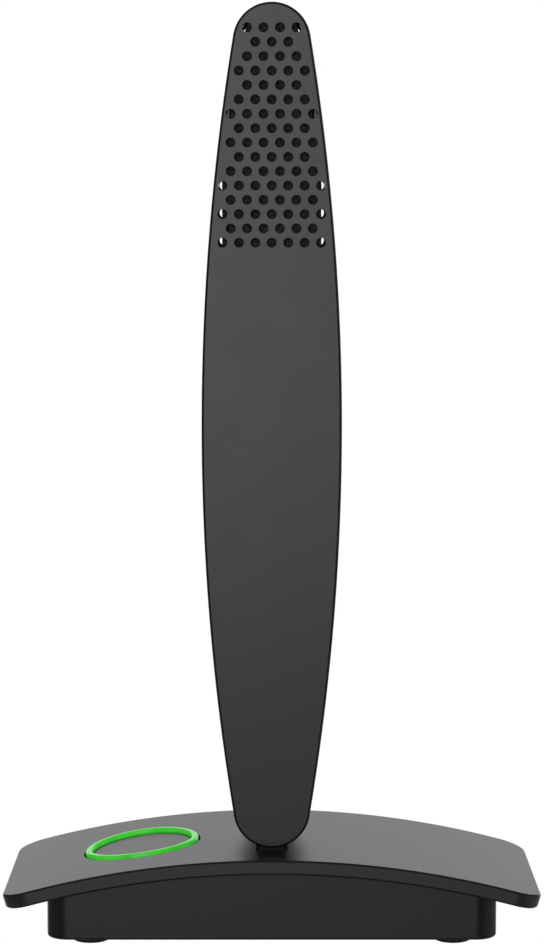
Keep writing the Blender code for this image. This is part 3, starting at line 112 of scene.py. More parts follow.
# Neck
NECK_WIDTH = 0.0072
NECK_EDGE = 0.0005
NECK_BORE_RADIUS = 0.002
NECK_BORE_FRONT = 0.006  # bore's centre behind the neck's front face
NECK_FOOT_THICKNESS = 0.0024

# Base plate and tray
PLATE_RADIUS = 0.2362
PLATE_THICKNESS = 0.0036
PLATE_CORNER = 0.0068
PLATE_CHAMFER = 0.00045
CHAMFER_ROUNDING = 0.00012
PILLAR_RADIUS = 0.0028  # under the plate, over each foot
ARCH_STEPS = 140
CORNER_STEPS = 14
TRAY_CORNER = 0.0055
TRAY_WALL = 0.002
TRAY_FLOOR = 0.002
TRAY_EDGE = 0.0006
FOOT_RECESS = 0.0008
FOOT_EDGE = 0.0008
FOOT_EDGE_STEPS = 6
FOOT_SIDES = 96
GROOVE_SHARE = 0.55  # of the foot's radius
GROOVE_DEPTH = 0.0003

# USB-C socket and its port
PORT_MARGIN = 0.0003
PORT_EDGE = 0.00025
SOCKET_SHELL = 0.0003
SOCKET_LIP = SOCKET_SHELL / 3
TONGUE_EDGE_SHARE = 0.25  # of the tongue's height
CONTACT_COUNT = 12
CONTACT_PITCH = 0.0005
CONTACT_WIDTH = 0.00025
CONTACT_HEIGHT = 0.00005

# Mute button
BUTTON_X = -0.0331
BUTTON_Y = -0.0015
RING_OUTER_RADIUS = 0.0145
RING_INNER_RADIUS = 0.0128
RING_STAND = 0.00095  # its top above the plate's
RING_EDGE = 0.0006
RING_EDGE_STEPS = 6
RING_GROOVE = 0.0005  # between the ring and the plate
RING_SIDES = 144
RING_FLANGE = 0.0014  # outside the ring, under the plate
RING_LEDGE = 0.0013  # inside the ring, under the cap
FLANGE_THICKNESS = 0.001
CAP_SINK = 0.00045  # its top below the plate's
CAP_THICKNESS = 0.0015
CAP_SKIRT = 0.0011
CAP_EDGE = 0.00025
CAP_FACE_STEPS = 12
CAP_PIN_RADIUS = 0.0017
CAP_PIN_BOTTOM = -0.00265  # from the plate's top
# The glow fades from the plate's top down to the cap's top: painted shade at the foot of the band,
# in its slot.
GLOW_SHADED_FOOT = 0.2  # at the height of the cap's top
GLOW_HIGH = 1.15
GLOW_FULL = 0.0001  # above the plate's top, where the glow is full

# Foam behind the grille
FOAM_HALF_WIDTH = 0.0121
FOAM_TOP_HALF_WIDTH = 0.0049
FOAM_SLANT_SHARE = 0.336  # half width gained on the way down from the top edge
FOAM_WALL_SPACE = 0.0007  # from the front shell's wall, while the rear pad fills its shell
FOAM_SWELL = 0.00015  # makes up for what the pores take off the sides
FOAM_STEPS = 36
FOAM_VOXEL = 0.0005
FOAM_PORE = 0.0007  # across a pore
FOAM_DEPTH = 0.00035  # of a pore

# The frame's own boxes
FRONT_LOW, FRONT_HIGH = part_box("head_front_shell")
REAR_LOW, REAR_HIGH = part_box("head_rear_shell")
PLATE_LOW, PLATE_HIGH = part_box("base_plate")
TRAY_LOW, TRAY_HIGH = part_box("base_tray")
HEAD_BOTTOM, HEAD_TOP = FRONT_LOW.z, FRONT_HIGH.z
HEAD_HEIGHT = HEAD_TOP - HEAD_BOTTOM
HEAD_WIDTH = FRONT_HIGH.x - FRONT_LOW.x
HEAD_MIDDLE = (HEAD_TOP + HEAD_BOTTOM) / 2
ROW_PITCH = HOLE_PITCH * math.sin(math.radians(60))
FIRST_ROW_Z = HEAD_TOP - FIRST_ROW_DROP
CROWN_HEIGHT = PLATE_HIGH.z
ARCH_CENTRE_Z = CROWN_HEIGHT - PLATE_RADIUS
RIB_Z = FIRST_ROW_Z - RIB_ROW * ROW_PITCH
UNDER_RADIUS = PLATE_RADIUS - PLATE_THICKNESS
FLANGE_RADIUS = RING_OUTER_RADIUS + RING_FLANGE
FLANGE_DROP = UNDER_RADIUS - math.sqrt(UNDER_RADIUS**2 - FLANGE_RADIUS**2)
FLANGE_TOP = -(PLATE_THICKNESS + FLANGE_DROP + TOUCH_GAP)

# The frame's nodes that repeat
SHELL_SCREWS = [f"head_shell_screw_{i}" for i in range(1, 5)]
NECK_SCREWS = [f"neck_screw_{i}" for i in range(1, 3)]
FEET = [f"{end}_{side}_foot" for end in ("front", "back") for side in ("left", "right")]

# Surfaces
CLOUD_RATIO = 40  # a moulding's clouds are this many times as wide as its grain
MOULDED_ROUGHNESS_SPREAD = 0.01
COAT_SHINE = 0.4
COAT_SPECKLE = 5200  # waves a metre
COAT_SPECKLE_HEIGHT = 0.000003
COAT_PEEL = 900  # waves a metre
COAT_PEEL_HEIGHT = 0.000004
COAT_ROUGHNESS_SPREAD = 0.03

# Studio: radiances, and panels as place, point looked at, width and height
FLOOR_REACH = 6.0
ROOM_RADIANCE = 0.09
BACK_PANEL = ((0.25, 1.5, 0.40), (0.25, 0, 0.40), (2.2, 1.3))
BACK_RADIANCE = 1.07
FRONT_PANEL = ((-0.16, -1.3, 0.40), (-0.16, 0, 0.40), (0.62, 0.98))
FRONT_RADIANCE = 2.62
LOW_FRONT_PANEL = ((-0.10, -1.3, -0.48), (-0.10, 0, -0.48), (0.8, 0.8))
LOW_FRONT_RADIANCE = 0.56
LOW_SIDE_REACH = 1.3  # to the low panels at the sides and behind
LOW_SIDE_HEIGHT = -0.65
LOW_SIDE_SIZE = (2.0, 0.8)
LOW_RIGHT_RADIANCE = 0.3
LOW_LEFT_RADIANCE = 0.1
LOW_BACK_RADIANCE = 0.9
SIDE_PANEL = ((1.5, -0.2, 0.35), (0, -0.2, 0.1), (1.0, 0.9))
SIDE_RADIANCE = 0.7


# Mesh helpers

def new_object(name, data):
    """An object in the scene, of a mesh, a light or a camera."""
    made = bpy.data.objects.new(name, data)
    bpy.context.scene.collection.objects.link(made)
    return made


def mesh_from(bm, name):
    """The bmesh as a mesh with its faces pointing out."""
    bm.normal_update()
    bmesh.ops.recalc_face_normals(bm, faces=bm.faces)
    mesh = bpy.data.meshes.new(name)
    bm.to_mesh(mesh)
    bm.free()
    return mesh


def solid(bm, name):
    """An object in the scene made of the bmesh."""
    return new_object(name, mesh_from(bm, name))


def lofted(rings, closed=False):
    """A solid through rings of points. Its ends are capped, or joined to each other if closed."""
    bm = bmesh.new()
    made = [[bm.verts.new(p) for p in ring] for ring in rings]
    pairs = list(zip(made, made[1:]))
    if closed:
        pairs.append((made[-1], made[0]))
    for a, b in pairs:
        for i in range(len(a)):
            j = (i + 1) % len(a)
            bm.faces.new((a[i], a[j], b[j], b[i]))
    if not closed:
        bm.faces.new(made[0])
        bm.faces.new(made[-1])
    return bm


def turned(profile, sides, closed=False):
    """A profile of (radius, height) turned about the Z axis, with its ends capped."""
    turns = [2 * math.pi * i / sides for i in range(sides)]
    rings = [[(r * math.cos(t), r * math.sin(t), z) for t in turns] for r, z in profile]
    return lofted(rings, closed)


def box(low, high):
    """A box between two corners."""
    low, high = Vector(low), Vector(high)
    bm = bmesh.new()
    bmesh.ops.create_cube(bm, size=1)
    bm.transform(Matrix.Translation((low + high) / 2) @ Matrix.Diagonal((*(high - low), 1)))
    return bm


def rod(start, end, radius, sides=ROUND_SIDES):
    """A cylinder from one point to another."""
    start, end = Vector(start), Vector(end)
    along = end - start
    turn = along.to_track_quat("Z", "Y").to_matrix().to_4x4()
    bm = bmesh.new()
    bmesh.ops.create_cone(
        bm, cap_ends=True, segments=sides, radius1=radius, radius2=radius, depth=along.length
    )
    bm.transform(Matrix.Translation((start + end) / 2) @ turn)
    return bm


def joined(parts):
    """Several solids in one bmesh."""
    whole = bmesh.new()
    for part in parts:
        mesh = bpy.data.meshes.new("part")
        part.to_mesh(mesh)
        part.free()
        whole.from_mesh(mesh)
        bpy.data.meshes.remove(mesh)
    return whole


def moved(bm, matrix):
    """The bmesh moved by a matrix."""
    bm.transform(matrix)
    return bm


def toward(direction):
    """Turns +Z to point along a direction."""
    return Vector(direction).to_track_quat("Z", "Y").to_matrix().to_4x4()


def bake(maker):
    """Replaces an object's mesh by what its modifiers make of it."""
    bpy.context.view_layer.update()
    evaluated = maker.evaluated_get(bpy.context.evaluated_depsgraph_get())
    mesh = bpy.data.meshes.new_from_object(evaluated)
    maker.modifiers.clear()
    maker.data = mesh


def combine(maker, other, operation):
    """Cuts an object with a bmesh, joins them or keeps what they share."""
    tool = solid(other, "tool")
    change = maker.modifiers.new("change", "BOOLEAN")
    change.operation = operation
    change.solver = "EXACT"
    change.object = tool
    bake(maker)
    bpy.data.objects.remove(tool)


def round_edges(maker, width, steps):
    """Rounds an object's sharp edges."""
    rounding = maker.modifiers.new("rounding", "BEVEL")
    rounding.width = width
    rounding.segments = steps
    bake(maker)


def shade(piece):
    """Smooth shading that keeps sharp edges, with flat faces left flat beside rounded edges."""
    piece.data.shade_smooth()
    piece.data.set_sharp_from_angle(angle=math.radians(SHARP_DEGREES))
    weighted = piece.modifiers.new("weighted", "WEIGHTED_NORMAL")
    weighted.keep_sharp = True


def quarter(radius, steps=EDGE_STEPS):
    """A rounded edge as (inset, drop) pairs, from the face round to the side."""
    turns = [math.pi / 2 * i / steps for i in range(steps + 1)]
    return [(radius * (1 - math.sin(t)), radius * (1 - math.cos(t))) for t in turns]


def chamfer(width, rounding, steps=EDGE_STEPS):
    """A slanted edge with rounded ends as (inset, drop) pairs, from the face round to the side."""
    tangent = rounding * math.tan(math.pi / 8)
    turns = [math.pi / 4 * i / steps for i in range(steps + 1)]
    near = [(width + tangent - rounding * math.sin(t), rounding * (1 - math.cos(t))) for t in turns]
    return near + [(drop, inset) for inset, drop in reversed(near)]


def rounded_rectangle(width, depth, corner, inset=0.0, steps=CORNER_STEPS):
    """Points in (x, y) round a rectangle with round corners, inside its outline by inset."""
    points = []
    for number, (sx, sy) in enumerate(((1, 1), (-1, 1), (-1, -1), (1, -1))):
        for i in range(steps + 1):
            t = math.pi / 2 * (number + i / steps)
            x = sx * (width / 2 - corner) + (corner - inset) * math.cos(t)
            y = sy * (depth / 2 - corner) + (corner - inset) * math.sin(t)
            points.append((x, y))
    return points


def button_frame():
    """Places things on the plate's top face at the button, with +Z out of the face."""
    height = ARCH_CENTRE_Z + math.sqrt(PLATE_RADIUS**2 - BUTTON_X**2)
    place = Matrix.Translation((BUTTON_X, BUTTON_Y, height))
    return place @ Matrix.Rotation(math.asin(BUTTON_X / PLATE_RADIUS), 4, "Y")


def finished(name, maker, slot, material, body, *nodes):
    """Names a piece, gives it its material and body, and hides the CAD nodes that it stands for."""
    maker.name = name
    maker.data.name = name
    maker.data.materials.clear()
    maker.data.materials.append(material)
    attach(maker, body)
    if nodes:
        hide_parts(*nodes)
    return maker


# Materials

class Nodes:
    """A material's node tree with short calls for what the materials here need."""

    def __init__(self, name, **values):
        self.material = bpy.data.materials.new(name)
        self.material.use_nodes = True
        self.tree = self.material.node_tree
        self.shader = self.tree.nodes["Principled BSDF"]
        self.point = self.tree.nodes.new("ShaderNodeTexCoord").outputs["Object"]
        for key, value in values.items():
            self.shader.inputs[key.replace("_", " ")].default_value = value

    def noise(self, scale, detail=2.0, roughness=0.5):
        """Noise from 0 to 1 at this many waves a metre."""
        node = self.tree.nodes.new("ShaderNodeTexNoise")
        node.inputs["Scale"].default_value = scale
        node.inputs["Detail"].default_value = detail
        node.inputs["Roughness"].default_value = roughness
        self.tree.links.new(self.point, node.inputs["Vector"])
        return node.outputs["Fac"]

    def cells(self, scale):
        """Distance to the nearest of scattered points, at this many a metre."""
        node = self.tree.nodes.new("ShaderNodeTexVoronoi")
        node.inputs["Scale"].default_value = scale
        self.tree.links.new(self.point, node.inputs["Vector"])
        return node.outputs["Distance"]

    def arch_distance(self):
        """Distance in metres from the axis that the plate's arch is bent round."""
        flat = self.tree.nodes.new("ShaderNodeVectorMath")
        flat.operation = "MULTIPLY_ADD"
        flat.inputs[1].default_value = (1, 0, 1)
        flat.inputs[2].default_value = (0, 0, -ARCH_CENTRE_Z)
        self.tree.links.new(self.point, flat.inputs[0])
        length = self.tree.nodes.new("ShaderNodeVectorMath")
        length.operation = "LENGTH"
        self.tree.links.new(flat.outputs["Vector"], length.inputs[0])
        return length.outputs["Value"]

    def spread(self, source, low, high, from_low=0.3, from_high=0.7):
        """A source mapped to a range of values."""
        node = self.tree.nodes.new("ShaderNodeMapRange")
        node.inputs["From Min"].default_value = from_low
        node.inputs["From Max"].default_value = from_high
        node.inputs["To Min"].default_value = low
        node.inputs["To Max"].default_value = high
        self.tree.links.new(source, node.inputs["Value"])
        return node.outputs["Result"]

    def blend(self, source, first, second, from_low=0.3, from_high=0.7):
        """Two colours mixed by a source."""
        node = self.tree.nodes.new("ShaderNodeValToRGB")
        node.color_ramp.elements[0].position = from_low
        node.color_ramp.elements[0].color = (*first, 1)
        node.color_ramp.elements[1].position = from_high
        node.color_ramp.elements[1].color = (*second, 1)
        self.tree.links.new(source, node.inputs["Fac"])
        return node.outputs["Color"]

    def bump(self, source, height, below=None):
        """Surface relief of this height in metres, over an earlier relief."""
        node = self.tree.nodes.new("ShaderNodeBump")
        node.inputs["Strength"].default_value = 1.0
        node.inputs["Distance"].default_value = height
        self.tree.links.new(source, node.inputs["Height"])
        if below is not None:
            self.tree.links.new(below, node.inputs["Normal"])
        return node.outputs["Normal"]

    def feed(self, **sockets):
        """Links outputs to the shader's inputs."""
        for key, output in sockets.items():
            self.tree.links.new(output, self.shader.inputs[key.replace("_", " ")])
        return self.material


def moulded(name, colour, lighter, roughness, grain, height, shine=0.5):
    """Moulded plastic with a fine spark-eroded grain and faint clouds in its polish."""
    nodes = Nodes(name, Specular_IOR_Level=shine)
    fine = nodes.noise(grain, detail=3.0, roughness=0.6)
    clouds = nodes.noise(grain / CLOUD_RATIO, detail=2.0)
    low, high = roughness - MOULDED_ROUGHNESS_SPREAD, roughness + MOULDED_ROUGHNESS_SPREAD
    return nodes.feed(
        Base_Color=nodes.blend(fine, colour, lighter),
        Roughness=nodes.spread(clouds, low, high),
        Normal=nodes.bump(fine, height),
    )


def powder_coat(name, colour, lighter, roughness):
    """Satin powder coat: fine speckle over a soft orange-peel relief."""
    nodes = Nodes(name, Specular_IOR_Level=COAT_SHINE)
    fine = nodes.noise(COAT_SPECKLE, detail=2.0, roughness=0.6)
    peel = nodes.noise(COAT_PEEL, detail=2.0, roughness=0.5)
    low, high = roughness - COAT_ROUGHNESS_SPREAD, roughness + COAT_ROUGHNESS_SPREAD
    return nodes.feed(
        Base_Color=nodes.blend(fine, colour, lighter),
        Roughness=nodes.spread(fine, low, high),
        Normal=nodes.bump(fine, COAT_SPECKLE_HEIGHT, nodes.bump(peel, COAT_PEEL_HEIGHT)),
    )


def open_foam(name):
    """Charcoal open-cell foam: pores painted darker than the lighter struts between them, as
    painted shade in the pores' depth.
    """
    nodes = Nodes(name, Sheen_Weight=0.3, Sheen_Roughness=0.5)
    pores = nodes.cells(1700)
    return nodes.feed(
        # Painted shade: near-black at the pores' centres, the foam's own charcoal on the struts.
        Base_Color=nodes.blend(pores, (0.004, 0.004, 0.004), (0.042, 0.042, 0.042), 0.25, 0.70),
        Roughness=nodes.spread(nodes.noise(900), 0.85, 1.0),
        Normal=nodes.bump(pores, height=0.0003),
    )


def soft_rubber(name):
    """Matt black rubber with a faint bloom."""
    nodes = Nodes(name)
    bloom = nodes.noise(350, detail=3.0, roughness=0.6)
    return nodes.feed(
        Base_Color=nodes.blend(bloom, (0.008, 0.008, 0.008), (0.014, 0.014, 0.014)),
        Roughness=nodes.spread(bloom, 0.62, 0.78),
        Normal=nodes.bump(nodes.noise(4200), height=0.000004),
    )


def lit_ring(name):
    """Translucent light guide lit from within: it glows above the cap, and its glow is turned down
    toward the cap as painted shade at the band's foot, down in its slot.
    """
    nodes = Nodes(name, IOR=1.49, Subsurface_Weight=0.15)
    cloud = nodes.noise(260, detail=2.0)
    distance = nodes.arch_distance()
    dim, full = PLATE_RADIUS - CAP_SINK, PLATE_RADIUS + GLOW_FULL
    return nodes.feed(
        Base_Color=nodes.blend(cloud, (0.020, 0.440, 0.016), (0.034, 0.520, 0.026)),
        Emission_Color=nodes.blend(cloud, (0.020, 0.320, 0.018), (0.030, 0.370, 0.026)),
        # Painted shade: the glow is dimmer down the band toward the cap.
        Emission_Strength=nodes.spread(distance, GLOW_SHADED_FOOT, GLOW_HIGH, dim, full),
        Roughness=nodes.spread(cloud, 0.25, 0.31),
        Normal=nodes.bump(nodes.noise(2600), height=0.000002),
    )


def zinc_steel(name):
    """Zinc-plated steel with fine drawing marks."""
    nodes = Nodes(name, Metallic=1.0)
    fine = nodes.noise(3800, detail=3.0, roughness=0.6)
    return nodes.feed(
        Base_Color=nodes.blend(nodes.noise(420), (0.40, 0.41, 0.42), (0.56, 0.56, 0.56)),
        Roughness=nodes.spread(fine, 0.24, 0.42),
        Normal=nodes.bump(fine, height=0.000003),
    )


def dark_steel(name):
    """Black-oxide screw steel."""
    nodes = Nodes(name, Metallic=0.85)
    fine = nodes.noise(3000, detail=3.0, roughness=0.6)
    return nodes.feed(
        Base_Color=nodes.blend(fine, (0.022, 0.022, 0.023), (0.045, 0.045, 0.046)),
        Roughness=nodes.spread(fine, 0.28, 0.44),
        Normal=nodes.bump(fine, height=0.000004),
    )


def drawn_can(name):
    """Drawn aluminium of the capsule's can."""
    nodes = Nodes(name, Metallic=1.0)
    fine = nodes.noise(2400, detail=4.0, roughness=0.7)
    return nodes.feed(
        Base_Color=nodes.blend(fine, (0.56, 0.55, 0.52), (0.68, 0.67, 0.64)),
        Roughness=nodes.spread(fine, 0.22, 0.38),
        Normal=nodes.bump(fine, height=0.000003),
    )


def solder_mask(name):
    """Green solder mask over copper tracks."""
    nodes = Nodes(name, Coat_Weight=0.3, Coat_Roughness=0.2)
    tracks = nodes.cells(420)
    return nodes.feed(
        Base_Color=nodes.blend(tracks, (0.008, 0.075, 0.028), (0.020, 0.140, 0.055), 0.35, 0.5),
        Roughness=nodes.spread(nodes.noise(1500), 0.32, 0.45),
        Normal=nodes.bump(tracks, height=0.00002),
    )


def epoxy(name):
    """Black moulding compound."""
    nodes = Nodes(name)
    fine = nodes.noise(5000, detail=3.0, roughness=0.6)
    return nodes.feed(
        Base_Color=nodes.blend(fine, (0.010, 0.010, 0.011), (0.020, 0.020, 0.021)),
        Roughness=nodes.spread(fine, 0.48, 0.62),
        Normal=nodes.bump(fine, height=0.000005),
    )


def nylon(name):
    """Off-white nylon."""
    nodes = Nodes(name, Subsurface_Weight=0.1)
    cloud = nodes.noise(700, detail=2.0)
    return nodes.feed(
        Base_Color=nodes.blend(cloud, (0.70, 0.69, 0.64), (0.80, 0.79, 0.75)),
        Roughness=nodes.spread(cloud, 0.36, 0.48),
        Normal=nodes.bump(nodes.noise(3000), height=0.000004),
    )


def lead_jacket(name):
    """Black jacket of an inner lead."""
    nodes = Nodes(name)
    fine = nodes.noise(1800, detail=2.0)
    return nodes.feed(
        Base_Color=nodes.blend(fine, (0.012, 0.012, 0.012), (0.022, 0.022, 0.022)),
        Roughness=nodes.spread(fine, 0.45, 0.60),
        Normal=nodes.bump(fine, height=0.000008),
    )


def gold(name):
    """Gold flash on the socket's contacts."""
    nodes = Nodes(name, Metallic=1.0)
    fine = nodes.noise(4000)
    return nodes.feed(
        Base_Color=nodes.blend(fine, (0.80, 0.55, 0.22), (0.88, 0.64, 0.30)),
        Roughness=nodes.spread(fine, 0.22, 0.34),
    )


SHELL = moulded(
    "shell_plastic", (0.0060, 0.0060, 0.0062), (0.0095, 0.0095, 0.0097),
    roughness=0.29, grain=4200, height=0.000003,
)
# The neck's plastic is the shell's made rougher, less shiny and darker: its darker colour is
# painted shade, for the neck's face that sits back under the head.
NECK_SHADED_PLASTIC = moulded(
    "neck_plastic_painted_shade", (0.0030, 0.0030, 0.0031), (0.0060, 0.0060, 0.0061),
    roughness=0.60, grain=3600, height=0.000006, shine=0.3,
)
TRAY = moulded(
    "tray_plastic", (0.0110, 0.0110, 0.0112), (0.0150, 0.0150, 0.0152),
    roughness=0.30, grain=3600, height=0.000003, shine=0.38,
)
PLATE = powder_coat(
    "plate_powder_coat", (0.0220, 0.0220, 0.0223), (0.0290, 0.0290, 0.0293),
    roughness=0.36,
)
FOAM = open_foam("grille_foam")
RUBBER = soft_rubber("soft_rubber")
GREEN = lit_ring("green_light_guide")
STEEL = zinc_steel("zinc_steel")
SCREW = dark_steel("black_screw_steel")
CAN = drawn_can("drawn_can")
BOARD = solder_mask("solder_mask")
CHIP = epoxy("chip_epoxy")
NYLON = nylon("white_nylon")
LEAD = lead_jacket("lead_jacket")
GOLD = gold("contact_gold")

NODE_MATERIALS = {
    "black_shell": SHELL,
    "black_plate": PLATE,
    "black_tray": TRAY,
    "black_foam": FOAM,
    "black_rubber": RUBBER,
    "green_light": GREEN,
    "steel": STEEL,
    "capsule_metal": CAN,
    "green_board": BOARD,
    "chip": CHIP,
    "white_part": NYLON,
    "lead": LEAD,
}


def dress_nodes():
    """Gives every CAD node the material of its slot. Those that are replaced don't show."""
    for row in frame["record"]["subparts"]:
        node = frame["nodes"][row["node"]]
        node.data.materials.clear()
        node.data.materials.append(NODE_MATERIALS[row["material_slot"]])


# Head

def head_side_radius():
    """Radius of the two side arcs, which touch the round tips."""
    half_height, half_width = HEAD_HEIGHT / 2, HEAD_WIDTH / 2
    tip_height = half_height - HEAD_TIP_RADIUS
    chord = half_width**2 - HEAD_TIP_RADIUS**2 + tip_height**2
    return chord / (2 * (half_width - HEAD_TIP_RADIUS))


def head_tip_angle():
    """Angle above the horizontal at which a side arc meets a tip."""
    rise = HEAD_HEIGHT / 2 - HEAD_TIP_RADIUS
    return math.asin(rise / (head_side_radius() - HEAD_TIP_RADIUS))


def head_half_width(z, inset=0.0):
    """Half of the head's width at a height above the table, inside its outline by inset."""
    height = abs(z - HEAD_MIDDLE)
    tip_centre = HEAD_HEIGHT / 2 - HEAD_TIP_RADIUS
    tip_radius = HEAD_TIP_RADIUS - inset
    if height > tip_centre + tip_radius * math.sin(head_tip_angle()):
        return math.sqrt(max(tip_radius**2 - (height - tip_centre) ** 2, 0))
    side = head_side_radius()
    return math.sqrt((side - inset) ** 2 - height**2) - (side - HEAD_WIDTH / 2)


def head_outline(inset=0.0):
    """Points round the head's face in (x, z), inside its outline by inset."""
    side, angle = head_side_radius(), head_tip_angle()
    side_centre = side - HEAD_WIDTH / 2
    tip_centre = HEAD_HEIGHT / 2 - HEAD_TIP_RADIUS
    quarter_points = []
    for i in range(SIDE_STEPS // 2 + 1):
        t = angle * 2 * i / SIDE_STEPS
        radius = side - inset
        quarter_points.append((radius * math.cos(t) - side_centre, radius * math.sin(t)))
    for i in range(1, TIP_STEPS // 2 + 1):
        t = angle + (math.pi / 2 - angle) * 2 * i / TIP_STEPS
        radius = HEAD_TIP_RADIUS - inset
        quarter_points.append((radius * math.cos(t), tip_centre + radius * math.sin(t)))
    upper = quarter_points + [(-x, z) for x, z in reversed(quarter_points[:-1])]
    lower = [(x, -z) for x, z in reversed(upper[1:-1])]
    return [(x, HEAD_MIDDLE + z) for x, z in upper + lower]


def hole_places():
    """Centres in (x, z) of the holes in a face, row by row from the top."""
    places = []
    for row in range(HOLE_ROWS):
        z = FIRST_ROW_Z - row * ROW_PITCH
        room = head_half_width(z) - HOLE_MARGIN - HOLE_DIAMETER / 2
        parity = (FIRST_ROW_COUNT + row) % 2
        count = 2 * int((2 * room / HOLE_PITCH + 1 - parity) / 2) + parity
        places += [((i - (count - 1) / 2) * HOLE_PITCH, z) for i in range(count)]
    return places


def flared_cutter(radius, depth, edge, sides):
    """Cuts a round hole into a face at Z 0, down to depth, and rounds its rim."""
    rim = [(radius + inset, -drop) for inset, drop in quarter(edge, FINE_EDGE_STEPS)]
    profile = [(radius + edge, CUT_OVERRUN)] + rim + [(radius, -depth)]
    return turned(profile, sides)


def half_head(outer, seam):
    """Half of the head's shell as one lofted solid: face, wall, seam and inside."""
    inward = 1 if seam > outer else -1
    face_inner = outer + inward * SHELL_FACE
    seam_edge = quarter(SEAM_EDGE, FINE_EDGE_STEPS)
    steps = [(inset, outer + inward * drop) for inset, drop in quarter(HEAD_EDGE)]
    steps += [(inset, seam - inward * drop) for inset, drop in reversed(seam_edge)]
    steps += [(SHELL_WALL, seam), (SHELL_WALL, face_inner + inward * INNER_EDGE)]
    steps += [(SHELL_WALL + INNER_EDGE, face_inner)]
    rings = [[(x, y, z) for x, z in head_outline(inset)] for inset, y in steps]
    return solid(lofted(rings), "shell")


def rib_inner_x():
    """How far to the side of the middle the inner face of a tongue is."""
    return head_half_width(RIB_Z, SHELL_WALL) - RIB_WALL_SPACE - RIB_WIDTH


def rib_boxes(in_face, seam):
    """The front shell's two tongues, beside the seventh row of holes."""
    ribs = []
    for side in (-1, 1):
        ends = sorted((side * rib_inner_x(), side * (rib_inner_x() + RIB_WIDTH)))
        low = (ends[0], in_face, RIB_Z - RIB_HEIGHT / 2)
        high = (ends[1], seam + RIB_REACH, RIB_Z + RIB_HEIGHT / 2)
        ribs.append(box(low, high))
    return ribs


def hole_cutters(outer, outward):
    """Cutters for all holes of a face, whose outside lies toward this sign of Y."""
    cutter = flared_cutter(HOLE_DIAMETER / 2, SHELL_FACE + CUT_OVERRUN, HOLE_EDGE, HOLE_SIDES)
    mesh = mesh_from(cutter, "cutter")
    whole = bmesh.new()
    for x, z in hole_places():
        copy = mesh.copy()
        copy.transform(Matrix.Translation((x, outer, z)) @ toward((0, outward, 0)))
        whole.from_mesh(copy)
        bpy.data.meshes.remove(copy)
    return whole


def neck_slot(inner, seam):
    """The notch in the wall under a face, where the neck goes in."""
    half = NECK_WIDTH / 2 + TOUCH_GAP
    past = seam + (CUT_OVERRUN if seam > inner else -CUT_OVERRUN)
    ends = sorted((inner, past))
    bottom, top = HEAD_BOTTOM - CUT_OVERRUN, HEAD_BOTTOM + HEAD_TIP_RADIUS / 2
    return box((-half, ends[0], bottom), (half, ends[1], top))


def make_front_shell():
    """The head's front half, with the tongues that line the rear one up."""
    outer, seam = FRONT_LOW.y, REAR_LOW.y - TOUCH_GAP
    shell = half_head(outer, seam)
    cutters = [hole_cutters(outer, -1), neck_slot(outer + SHELL_FACE, seam)]
    combine(shell, joined(rib_boxes(outer + SHELL_FACE / 2, seam)), "UNION")
    combine(shell, joined(cutters), "DIFFERENCE")
    shade(finished("front_shell", shell, "black_shell", SHELL, BASE, "head_front_shell"))


def backward(node, y):
    """Turns +Z to point out of the back, over a node's middle and at this depth in Y."""
    low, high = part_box(node)
    middle = ((low.x + high.x) / 2, y, (low.z + high.z) / 2)
    return Matrix.Translation(middle) @ toward((0, 1, 0))


def recess_radius(screw):
    """Radius of the recess round a screw's head."""
    low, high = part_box(screw)
    return (high.x - low.x) / 2 + RECESS_GAP


def recess_cutter(screw, depth):
    """Cuts a screw's recess into the head's back face."""
    cutter = flared_cutter(recess_radius(screw), depth, RECESS_EDGE, ROUND_SIDES)
    return moved(cutter, backward(screw, REAR_HIGH.y))


def recess_pillar(screw, seam):
    """The pillar round a screw's recess, from the seam into the back face."""
    end = REAR_HIGH.y - SHELL_FACE / 2
    pillar = rod((0, 0, seam - end), (0, 0, 0), recess_radius(screw) + RECESS_WALL)
    return moved(pillar, backward(screw, end))


def make_rear_shell():
    """The head's rear half, with a pillar for each screw that holds the halves together."""
    outer, seam = REAR_HIGH.y, REAR_LOW.y
    shell = half_head(outer, seam)
    cutters = [hole_cutters(outer, 1), neck_slot(outer - SHELL_FACE, seam)]
    for screw in SHELL_SCREWS:
        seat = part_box(screw)[1].y - SHELL_SCREW_HEAD - TOUCH_GAP
        cutters.append(recess_cutter(screw, outer - seat))
    for screw in NECK_SCREWS:
        cutters.append(recess_cutter(screw, NECK_SCREW_HEAD + TOUCH_GAP / 2))
    combine(shell, joined([recess_pillar(screw, seam) for screw in SHELL_SCREWS]), "UNION")
    combine(shell, joined(cutters), "DIFFERENCE")
    shade(finished("rear_shell", shell, "black_shell", SHELL, BASE, "head_rear_shell"))


def make_screw(node, head_height):
    """A dark screw in the head's back, with a rounded head and a socket for a hex key."""
    low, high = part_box(node)
    radius = (high.x - low.x) / 2
    length = high.y - low.y
    rim = [(radius - inset, -drop) for inset, drop in quarter(SCREW_EDGE)]
    shank = [(SCREW_SHANK, -head_height), (SCREW_SHANK, -length)]
    profile = rim + [(radius, -head_height)] + shank
    place = backward(node, high.y)
    screw = solid(moved(turned(profile, ROUND_SIDES), place), node)
    start, end = (0, 0, -head_height * SCREW_SOCKET_DEPTH_SHARE), (0, 0, CUT_OVERRUN)
    socket = rod(start, end, radius * SCREW_SOCKET_SHARE, SCREW_SOCKET_SIDES)
    combine(screw, moved(socket, place), "DIFFERENCE")
    shade(finished(node + "_detailed", screw, "steel", SCREW, BASE, node))


def foam_reach(z, top, wall_space):
    """Half of a foam pad's width at a height, where top is the height of its upper edge."""
    inside = head_half_width(z, SHELL_WALL + wall_space)
    slanted = FOAM_TOP_HALF_WIDTH + (top - z) * FOAM_SLANT_SHARE
    return min(inside, slanted, FOAM_HALF_WIDTH) + FOAM_SWELL


